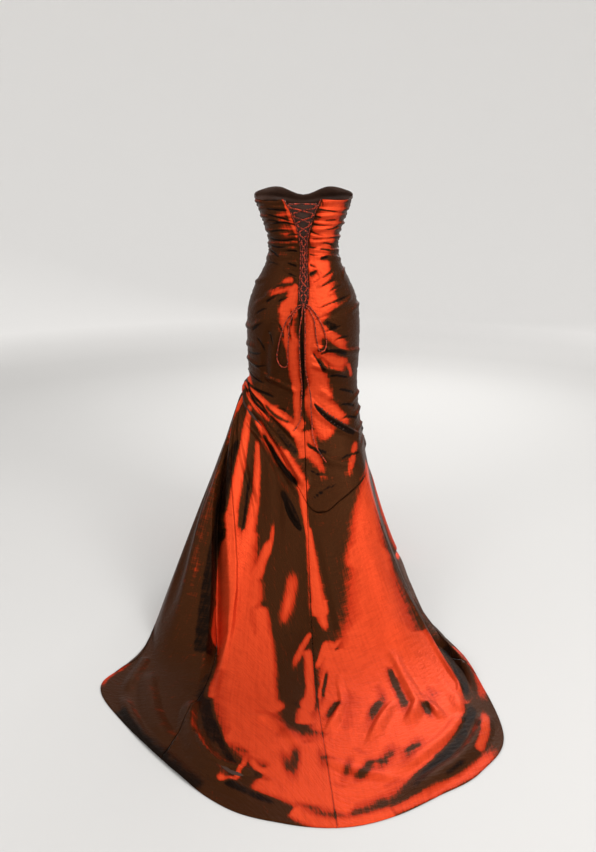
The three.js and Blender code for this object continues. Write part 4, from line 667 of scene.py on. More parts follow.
def mathNode(nodes, links, operation, a, b):
    # One operation on two values, each a number or another node's output.
    node = nodes.new("ShaderNodeMath")
    node.operation = operation
    for socket, value in zip(node.inputs, (a, b)):
        if isinstance(value, (int, float)):
            socket.default_value = value
        else:
            links.new(value, socket)
    return node.outputs[0]


def rampNode(nodes, links, source, stops):
    # A colour ramp over the source, through the stops: position and colour, in order.
    ramp = nodes.new("ShaderNodeValToRGB")
    marks = ramp.color_ramp.elements
    for mark, (position, colour) in zip((marks[0], marks[1]), (stops[0], stops[-1])):
        mark.position = position
        mark.color = (*colour, 1)
    for position, colour in stops[1:-1]:
        marks.new(position).color = (*colour, 1)
    links.new(source, ramp.inputs[0])
    return ramp.outputs[0]


def bumpNode(nodes, links, height, distance, strength, below=None):
    # The normal bent by the height, on top of the bump below it.
    bump = nodes.new("ShaderNodeBump")
    bump.inputs["Distance"].default_value = distance
    bump.inputs["Strength"].default_value = strength
    links.new(height, bump.inputs["Height"])
    if below is not None:
        links.new(below, bump.inputs["Normal"])
    return bump.outputs[0]


def addPiece(name, data):
    # An object of the gown's one body, with its material slot.
    piece = bpy.data.objects.new(name, data)
    bpy.context.scene.collection.objects.link(piece)
    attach(piece, "root")
    return piece


# Cords: one lace through the eyes, a bow of two loops and two free ends.
lacing = {
    "cord": 4, "eyeCord": 2.4, "eyeRadius": 4.5, "eyeCount": 11, "eyePitch": 28.2, "topEye": 127,
    "knotLevel": -178, "knotRadius": 7, "eyeClear": 4.7, "crossLift": 2.45, "lean": 1.9,
    "edgeGap": 0.95, "knotOff": 4.4, "knotClear": 0.9, "strandOff": 2.9, "crossBack": 1.2,
    "longStrand": 12, "leadOut": 4, "edgeStep": 3, "tieAbove": 147, "tieBelow": 9, "tieOff": 1.1,
    "barShares": (0.25, 0.5, 0.75), "barBack": (2, 3.2, 2), "barUp": 6.4,
    "eyeTurns": (55, 118, 180, 242, 305), "eyeTwist": 1.5, "eyeSink": 1.2,
    "eyePlaces": 420, "eyeSides": 10,
}
lacedLevels = (-480, 230)  # where the body's own half width gives the bearing
eyeCordOff = gown["seamGap"] + lacing["edgeGap"] + lacing["eyeCord"] / 2
eyeOff = eyeCordOff + lacing["eyeRadius"]
eyeLevels = lacing["topEye"] - lacing["eyePitch"] * np.arange(lacing["eyeCount"])


def openingEdge(side, level):
    # At every level: the middle of the wall at the opening's width, the way outwards, and the
    # way to the centre along the form.
    left, right = openingAt(level)
    bearing = bearingOf(side * (left if side < 0 else right), level)
    outward = normalOf(clothPoint, bearing, level)
    edge = clothPoint(bearing, level) - outward * gown["bodiceWall"] / 2
    turn = np.degrees(lacing["edgeStep"] / bodyAt(level)[0])
    inward = unit(basePoint(bearing - side * turn, level) - basePoint(bearing, level))
    return edge, outward, inward


def eyeCentres(side, rise=0, lean=0):
    # The edge point of every eye, moved in by the eye's distance and by the lean of the lace.
    edge, outward, inward = openingEdge(side, eyeLevels + rise)
    return edge + inward * (eyeOff + lean)


def laceRoute():
    # Up from the knot through the eyes in turn, over or under the other run between them,
    # across between the top eyes and down again the same way.
    last = lacing["eyeCount"] - 1
    clear = lacing["eyeClear"]
    low = {side: eyeCentres(side, -clear, lacing["lean"]) for side in (-1, 1)}
    high = {side: eyeCentres(side, clear, lacing["lean"]) for side in (-1, 1)}
    middle = {side: eyeCentres(side) for side in (-1, 1)}
    knot = knotPlace()

    def crossing(k, over):
        # The middle of four eyes, moved off the cloth to pass over or under the other run.
        spot = (middle[-1][k] + middle[-1][k + 1] + middle[1][k] + middle[1][k + 1]) / 4
        sign = over if k % 2 == 0 else -over
        return spot - np.array([0, lacing["crossBack"] + sign * lacing["crossLift"], 0])
    startLevel = lacing["knotLevel"] + lacing["knotRadius"] + lacing["knotClear"]
    start = np.array([-lacing["strandOff"], knot[1] + 1, startLevel])
    points = [start]
    for k in range(last, -1, -1):
        side = -1 if (last - k) % 2 == 0 else 1
        points += [low[side][k], high[side][k]]
        if k > 0:
            points.append(crossing(k - 1, 1))
    topBar = [middle[-1][0] + (middle[1][0] - middle[-1][0]) * t for t in lacing["barShares"]]
    if last % 2:
        topBar.reverse()
    for point, back in zip(topBar, lacing["barBack"]):
        points.append(point + np.array([0, -back, lacing["barUp"]]))
    for k in range(last + 1):
        side = 1 if (last - k) % 2 == 0 else -1
        points += [high[side][k], low[side][k]]
        if k < last:
            points.append(crossing(k, -1))
    points.append(start * np.array([-1, 1, 1]))
    # A further place on the straight line keeps each long strand straight between its bends.
    route = [points[0]]
    for before, after in zip(points, points[1:]):
        if np.linalg.norm(after - before) > lacing["longStrand"]:
            route.append((before + after) / 2)
        route.append(after)
    return np.array(route)


def knotPlace():
    # On the centre back, off the plain form by the knot's own distance.
    level = np.array(lacing["knotLevel"], float)
    return basePoint(0, level) + normalOf(basePoint, 0, level) * lacing["knotOff"]


def centripetalRun(points, count):
    # Catmull-Rom through the points, knots apart by the square root of each distance,
    # then evenly spaced places along it.
    points = np.vstack([2 * points[0] - points[1], points, 2 * points[-1] - points[-2]])
    apart = np.linalg.norm(np.diff(points, axis=0), axis=1)
    knots = np.concatenate([[0], np.cumsum(apart ** 0.5)])
    t = np.linspace(knots[1], knots[-2] - 1e-9, 1200)
    k = np.clip(np.searchsorted(knots, t, side="right") - 1, 1, len(points) - 3)

    def blend(a, b, ta, tb):
        # From a at ta to b at tb along a straight line.
        return a * ((tb - t) / (tb - ta))[:, None] + b * ((t - ta) / (tb - ta))[:, None]
    p = [points[k + n] for n in (-1, 0, 1, 2)]
    u = [knots[k + n] for n in (-1, 0, 1, 2)]
    first = [blend(p[n], p[n + 1], u[n], u[n + 1]) for n in range(3)]
    second = [blend(first[n], first[n + 1], u[n], u[n + 2]) for n in range(2)]
    run = blend(second[0], second[1], u[1], u[2])
    along = np.concatenate([[0], np.cumsum(np.linalg.norm(np.diff(run, axis=0), axis=1))])
    even = np.linspace(0, along[-1], count)
    return np.stack([np.interp(even, along, run[:, axis]) for axis in range(3)], 1)


def lyingRoute(places, startAngle, endAngle, count):
    # A hanging cord lies on the cloth: out of the knot at an angle, then over the cloth's
    # points, each moved out along its normal.
    x, level, lift = np.array(places, float).T
    bearing = bearingOf(x, np.clip(level, *lacedLevels))
    guide = clothPoint(bearing, level) + normalOf(clothPoint, bearing, level) * lift[:, None]
    knot = knotPlace()

    def offset(angle, far):
        # The place at this angle and distance from the knot.
        turn = math.radians(angle)
        return knot + far * np.array([math.cos(turn), 0, math.sin(turn)])
    reach = lacing["knotRadius"] + lacing["knotClear"]
    lead = reach + lacing["leadOut"]
    points = [offset(startAngle, reach), offset(startAngle, lead), *guide]
    if endAngle is not None:
        points += [offset(endAngle, lead), offset(endAngle, reach)]
    return centripetalRun(np.array(points), count)


def cordCurve(name, points, diameter):
    # A round tube along a smooth curve through the points, with closed ends.
    curve = bpy.data.curves.new(name, "CURVE")
    curve.dimensions = "3D"
    curve.bevel_depth = diameter / 2 * mm
    curve.bevel_resolution = 3
    curve.resolution_u = 5
    curve.use_fill_caps = True
    spline = curve.splines.new("BEZIER")
    spline.bezier_points.add(len(points) - 1)
    spline.bezier_points.foreach_set("co", (points * mm).ravel())
    for point in spline.bezier_points:
        point.handle_left_type = point.handle_right_type = "AUTO"
    curve.materials.append(rouleau)
    return addPiece(name, curve)


def curveLength(piece):
    # Sum of the steps along each piece of the spline, worked out from its four handles.
    bpy.context.view_layer.update()
    points = piece.data.splines[0].bezier_points
    spots = np.array([[p.co, p.handle_right] for p in points])
    leads = np.array([p.handle_left for p in points])
    t = np.linspace(0, 1, 25)[:, None, None]
    a, b, c, d = spots[:-1, 0], spots[:-1, 1], leads[1:], spots[1:, 0]
    run = (1 - t)**3 * a + 3 * (1 - t)**2 * t * b + 3 * (1 - t) * t**2 * c + t**3 * d
    return float(np.linalg.norm(np.diff(run, axis=0), axis=-1).sum())


# Distance from the centre back, level, distance off the cloth.
bow = {
    "bow_loop_left": {"angles": (168, 208), "count": 36, "end": "object", "places": [
        [-20, -184, 4], [-40, -206, 4], [-60, -240, 4], [-74, -280, 4], [-83, -320, 4],
        [-86, -352, 4], [-76, -374, 4.4], [-60, -382, 4.4], [-52, -368, 4.4], [-50, -330, 4.4],
        [-48, -280, 4.4], [-44, -232, 4.4], [-28, -202, 4.4],
    ]},
    "bow_loop_right": {"angles": (12, 332), "count": 30, "end": "object", "places": [
        [20, -184, 4], [42, -212, 4], [60, -246, 4], [71, -280, 4], [73, -302, 4], [64, -322, 4.4],
        [52, -322, 4.4], [44, -300, 4.4], [38, -266, 4.4], [34, -230, 4.4], [24, -204, 4.4],
    ]},
    "lace_end_left": {"angles": (250, None), "count": 30, "end": "bare", "places": [
        [-6, -210, 4], [-12, -250, 4], [-14, -298, 4], [-12, -350, 4], [-9, -400, 5], [-5, -454, 5],
        [-7, -500, 6], [-8, -530, 6], [-10, -556, 6], [-20, -578, 6], [-32, -594, 6],
    ]},
    "lace_end_right": {"angles": (290, None), "count": 34, "end": "bare", "places": [
        [4, -210, 4], [5, -260, 4], [5, -320, 4], [6, -380, 4.5], [14, -430, 6], [23, -484, 9],
        [25, -520, 9], [25, -560, 7], [26, -606, 7], [34, -640, 7], [48, -668, 7], [61, -690, 7],
    ]},
}


rouleauLook = {
    "brown": (0.035, 0.010, 0.005), "orange": (0.55, 0.05, 0.016), "stops": (0.42, 0.62),
    "flecks": (190, 3), "wrinkles": (900, 2), "wrinkleDepth": 0.0008, "wrinkleStrength": 0.6,
    "roughness": 0.36, "metallic": 0.3, "specular": 0.3,
}


def rouleauMaterial(name, look):
    # A narrow tube of the same cloth: brown with orange flecks and fine twisted wrinkles.
    material, nodes, links, shader = newMaterial(name)
    place = nodes.new("ShaderNodeTexCoord")
    noises = {}
    for part in ("flecks", "wrinkles"):
        noise = nodes.new("ShaderNodeTexNoise")
        noise.inputs["Scale"].default_value, noise.inputs["Detail"].default_value = look[part]
        links.new(place.outputs["Object"], noise.inputs["Vector"])
        noises[part] = noise.outputs["Fac"]
    stops = list(zip(look["stops"], (look["brown"], look["orange"])))
    colour = rampNode(nodes, links, noises["flecks"], stops)
    links.new(colour, shader.inputs["Base Color"])
    shader.inputs["Roughness"].default_value = look["roughness"]
    shader.inputs["Metallic"].default_value = look["metallic"]
    shader.inputs["Specular IOR Level"].default_value = look["specular"]
    normal = bumpNode(nodes, links, noises["wrinkles"], look["wrinkleDepth"],
                      look["wrinkleStrength"])
    links.new(normal, shader.inputs["Normal"])
    return material


rouleau = rouleauMaterial("rouleauCord", rouleauLook)

lacePath = laceRoute()
laceCurve = cordCurve("lace_through_eyes", lacePath, lacing["cord"])
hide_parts("lace_crossed")
curveLength(laceCurve)
for name, facts in bow.items():
    route = lyingRoute(facts["places"], *facts["angles"], facts["count"])
    curve = cordCurve(name + "_cord", route, lacing["cord"])
    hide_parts(name)
    curveLength(curve)
    print(name, "is", round(curveLength(curve) * 1000), "mm long")


def tubePiece(name, path, radius, sides):
    # Circles of the radius set square to the path at every place, turned as little as possible
    # from one place to the next, with a flat face at both ends.
    along = unit(np.gradient(path, axis=0))
    across = np.cross(along[0], (0.0, 0.0, 1.0))
    if np.linalg.norm(across) < 0.1:
        across = np.cross(along[0], (1.0, 0.0, 0.0))
    frames = []
    for direction in along:
        across = unit(across - direction * (across @ direction))
        frames.append(across)
    across = np.array(frames)
    upward = np.cross(along, across)
    turn = np.arange(sides) * 2 * np.pi / sides
    ring = across[:, None] * np.cos(turn)[:, None] + upward[:, None] * np.sin(turn)[:, None]
    points = (path[:, None] + ring * radius).reshape(-1, 3) * mm
    index = np.arange(len(path) * sides).reshape(len(path), sides)
    beside = np.roll(index, -1, 1)
    faces = np.stack([index[:-1], beside[:-1], beside[1:], index[1:]], -1).reshape(-1, 4).tolist()
    faces += [index[0, ::-1].tolist(), index[-1].tolist()]
    mesh = bpy.data.meshes.new(name)
    mesh.from_pydata(points.tolist(), [], faces)
    mesh.polygons.foreach_set("use_smooth", [True] * len(mesh.polygons))
    mesh.materials.append(rouleau)
    mesh.update()
    return addPiece(name, mesh)


def eyeRoute(side):
    # One thin cord down the edge of the opening, out and round at every eye level.
    radius, twist = lacing["eyeRadius"], lacing["eyeTwist"]
    turns = np.radians(lacing["eyeTurns"])
    along = np.concatenate([[-radius], -radius * np.cos(turns), [-radius]])
    out = np.concatenate([[twist], radius * np.sin(turns), [-twist]])
    sink = lacing["eyeSink"] * np.linspace(1, -1, len(out))
    edge, outward, inward = openingEdge(side, eyeLevels)
    centre = edge + inward * eyeOff
    eyes = (centre[:, None] + inward[:, None] * along[:, None] + outward[:, None] * out[:, None]
            + np.array([0, 0, 1]) * sink[:, None])
    edge, outward, inward = openingEdge(side, eyeLevels[1:] + lacing["eyePitch"] / 2)
    between = edge + inward * (eyeCordOff + lacing["tieOff"])
    ends = []
    for level in (float(lacing["tieAbove"]), eyeLevels[-1] - lacing["tieBelow"]):
        edge, outward, inward = openingEdge(side, np.array([level]))
        ends.append(edge + inward * eyeCordOff)
    runs = [ends[0], eyes[0]]
    for k in range(1, len(eyes)):
        runs += [between[k - 1:k], eyes[k]]
    return np.concatenate(runs + [ends[1]])


for side, node in ((-1, "loops_left"), (1, "loops_right")):
    path = centripetalRun(eyeRoute(side), lacing["eyePlaces"])
    eyes = tubePiece(node + "_cord", path, lacing["eyeCord"] / 2, lacing["eyeSides"])
    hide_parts(node)

# The knot: two turns of the lace laid side by side round the crossing cords, along a
# flattened screw line.
knotLook = {"halfWidth": 3.4, "depth": 2.5, "height": 4.9, "turns": 2.2, "start": 0.4,
            "places": 90, "sides": 14, "squeeze": 0.47}
t = np.linspace(0, 1, knotLook["places"])
knotAngle = 2 * np.pi * knotLook["turns"] * t + knotLook["start"]
knotTurns = np.stack([knotLook["halfWidth"] * (2 * t - 1), knotLook["depth"] * np.cos(knotAngle),
                      knotLook["height"] * np.sin(knotAngle)], 1)
knot = tubePiece("bow_knot", knotPlace() + knotTurns, lacing["cord"] * knotLook["squeeze"],
                 knotLook["sides"])
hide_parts("lace_knot")
print("cords are laid")


# Shot taffeta, an orange-red weft over a brown warp, with painted highlights and painted shade
# laid on by the tone. Each noise has its scale across and down the cloth (per metre), its detail
# and its roughness.
taffetaLook = {
    # The darkest colour is painted shadow, the brightest painted highlight.
    "paintedShadow": (0.007, 0.003, 0.0015), "brown": (0.041, 0.0125, 0.0034),
    "russet": (0.14, 0.018, 0.004), "orange": (0.42, 0.027, 0.0065),
    "paintedHighlight": (0.66, 0.060, 0.016),
    "stops": {0.02: "paintedShadow", 0.22: "brown", 0.39: "brown", 0.48: "russet", 0.58: "orange",
              0.90: "paintedHighlight"},
    "streaks": ((150, 9, 1), 5, 0.65), "weft": ((22, 260, 1), 3, 0.55),
    "blotches": ((24, 46, 1), 5, 0.62), "slubs": ((45, 1500, 1), 2, 0.55),
    "warp": ((2600, 60, 1), 1, 0.55), "crinkle": ((55, 110, 1), 5, 0.6),
    "shares": {"streaks": 0.42, "blotches": 0.36, "weft": 0.22}, "spread": 2.9,
    "bumps": {"warp": (0.0002, 0.35), "slubs": (0.0005, 0.5), "crinkle": (0.004, 0.55)},
    "roughness": 0.40, "roughnessSpread": 0.22, "metallic": 0.5, "specular": 0.035,
    "sheen": 0.02, "sheenRoughness": 0.35, "sheenTint": (1, 0.28, 0.10, 1),
}


def taffetaMaterial(name, look):
    # The tone, which carries the painted highlights and painted shade, plus a spread of three
    # noises round their middle runs through the colours; three finer noises bend the surface.
    material, nodes, links, shader = newMaterial(name)
    tone = nodes.new("ShaderNodeAttribute")
    tone.attribute_name = "tone"
    noises = {part: scaledNoise(nodes, links, *look[part])
              for part in ("streaks", "weft", "blotches", "slubs", "warp", "crinkle")}
    parts = [mathNode(nodes, links, "MULTIPLY", noises[part], share)
             for part, share in look["shares"].items()]
    spread = mathNode(nodes, links, "ADD", parts[0], parts[1])
    spread = mathNode(nodes, links, "ADD", spread, parts[2])
    spread = mathNode(nodes, links, "SUBTRACT", spread, 0.5)
    spread = mathNode(nodes, links, "MULTIPLY", spread, look["spread"])
    level = mathNode(nodes, links, "ADD", tone.outputs["Fac"], spread)
    # From the tone's range of -1 to 2 to the ramp's range of 0 to 1.
    level = mathNode(nodes, links, "MULTIPLY", mathNode(nodes, links, "ADD", level, 1), 0.3333)
    stops = [(position, look[finish]) for position, finish in look["stops"].items()]
    links.new(rampNode(nodes, links, level, stops), shader.inputs["Base Color"])
    rough = mathNode(nodes, links, "MULTIPLY_ADD", noises["blotches"], look["roughnessSpread"])
    rough.node.inputs[2].default_value = look["roughness"] - look["roughnessSpread"] / 2
    links.new(rough, shader.inputs["Roughness"])
    shader.inputs["Metallic"].default_value = look["metallic"]
    shader.inputs["Specular IOR Level"].default_value = look["specular"]
    shader.inputs["Sheen Weight"].default_value = look["sheen"]
    shader.inputs["Sheen Roughness"].default_value = look["sheenRoughness"]
    shader.inputs["Sheen Tint"].default_value = look["sheenTint"]
    normal = None
    for part, (distance, strength) in look["bumps"].items():
        normal = bumpNode(nodes, links, noises[part], distance, strength, normal)
    links.new(normal, shader.inputs["Normal"])
    return material


taffeta = taffetaMaterial("copperTaffeta", taffetaLook)

liningLook = {
    "dark": (0.035, 0.0154, 0.0091), "plain": (0.050, 0.022, 0.013), "stops": (0.3, 0.7),
    "clouds": ((20, 28, 1), 3), "warp": ((1800, 50, 1), 1),
    "bumps": {"warp": (0.0002, 0.4), "clouds": (0.004, 0.4)}, "roughness": 0.55, "specular": 0.25,
}


def liningMaterial(name, look):
    # Plain dark lining satin: a fine warp, soft creases and a low gloss.
    material, nodes, links, shader = newMaterial(name)
    noises = {part: scaledNoise(nodes, links, *look[part]) for part in ("clouds", "warp")}
    stops = list(zip(look["stops"], (look["dark"], look["plain"])))
    links.new(rampNode(nodes, links, noises["clouds"], stops), shader.inputs["Base Color"])
    shader.inputs["Roughness"].default_value = look["roughness"]
    shader.inputs["Specular IOR Level"].default_value = look["specular"]
    normal = None
    for part, (distance, strength) in look["bumps"].items():
        normal = bumpNode(nodes, links, noises[part], distance, strength, normal)
    links.new(normal, shader.inputs["Normal"])
    return material


lining = liningMaterial("brownLining", liningLook)


# Cloth pieces: one closed wall each, with its own map in metres and its tone, which carries painted
# highlights and painted shade.
def gridNormal(grid):
    # The cross product of the two ways along the grid, over its own length.
    return unit(np.cross(np.gradient(grid, axis=0), np.gradient(grid, axis=1)))


def rimFaces(outerRun, innerRun, skip, turned):
    # Between two runs of the edge: every inner step takes skip outer steps in one face.
    start = np.arange(len(innerRun) - 1)
    columns = [outerRun[start * skip + n] for n in range(skip + 1)]
    faces = np.stack(columns + [innerRun[start + 1], innerRun[start]], 1)
    return (faces[:, ::-1] if turned else faces).tolist()


def clothPiece(name, outer, wall, skip, across, down, tone, outside):
    # Outer face, inner face one wall further in on a wider grid, and four rims; mm to metres.
    rows, columns = outer.shape[:2]
    inner = (outer - gridNormal(outer) * wall)[::skip[0], ::skip[1]]
    at = np.arange(rows * columns).reshape(rows, columns)
    under = at.size + np.arange(inner.shape[0] * inner.shape[1]).reshape(inner.shape[:2])

    def quads(index, turned):
        # The four corners of every cell of the grid.
        corners = [index[:-1, :-1], index[1:, :-1], index[1:, 1:], index[:-1, 1:]]
        faces = np.stack([corner.ravel() for corner in corners], 1)
        return (faces[:, ::-1] if turned else faces).tolist()
    faces = quads(at, False) + quads(under, True)
    faces += rimFaces(at[0], under[0], skip[1], False)
    faces += rimFaces(at[-1], under[-1], skip[1], True)
    faces += rimFaces(at[:, 0], under[:, 0], skip[0], True)
    faces += rimFaces(at[:, -1], under[:, -1], skip[0], False)
    points = np.concatenate([outer.reshape(-1, 3), inner.reshape(-1, 3)]) * mm
    mesh = bpy.data.meshes.new(name)
    mesh.from_pydata(points.tolist(), [], faces)

    def both(values):
        # The values at the outer face, then those at the inner face's wider grid.
        return np.concatenate([values.ravel(), values[::skip[0], ::skip[1]].ravel()])
    loops = np.empty(len(mesh.loops), int)
    mesh.loops.foreach_get("vertex_index", loops)
    layer = mesh.uv_layers.new(name="clothMap")
    layer.data.foreach_set("uv", np.stack([both(across), both(down)], 1)[loops].ravel() * mm)
    attribute = mesh.attributes.new("tone", "FLOAT", "POINT")
    attribute.data.foreach_set("value", both(tone).astype(np.float32))
    mesh.polygons.foreach_set("use_smooth", [True] * len(mesh.polygons))
    mesh.materials.append(outside)
    mesh.materials.append(lining)
    finish = np.zeros(len(mesh.polygons), np.int32)
    outerCount = (rows - 1) * (columns - 1)
    finish[outerCount:outerCount + (inner.shape[0] - 1) * (inner.shape[1] - 1)] = 1
    mesh.polygons.foreach_set("material_index", finish)
    mesh.update()
    spread = np.cross(np.diff(outer, axis=0)[:, :-1], np.diff(outer, axis=1)[:-1])
    print(name, "has", len(mesh.polygons), "faces and covers",
          round(float(np.linalg.norm(spread, axis=-1).sum()) * mm * mm, 3), "square metres")
    return addPiece(name, mesh)


def runLength(grid, axis):
    # Distance along the grid lines from their first point.
    steps = np.linalg.norm(np.diff(grid, axis=axis), axis=-1)
    start = np.zeros_like(np.take(steps, [0], axis))
    return np.concatenate([start, np.cumsum(steps, axis)], axis)
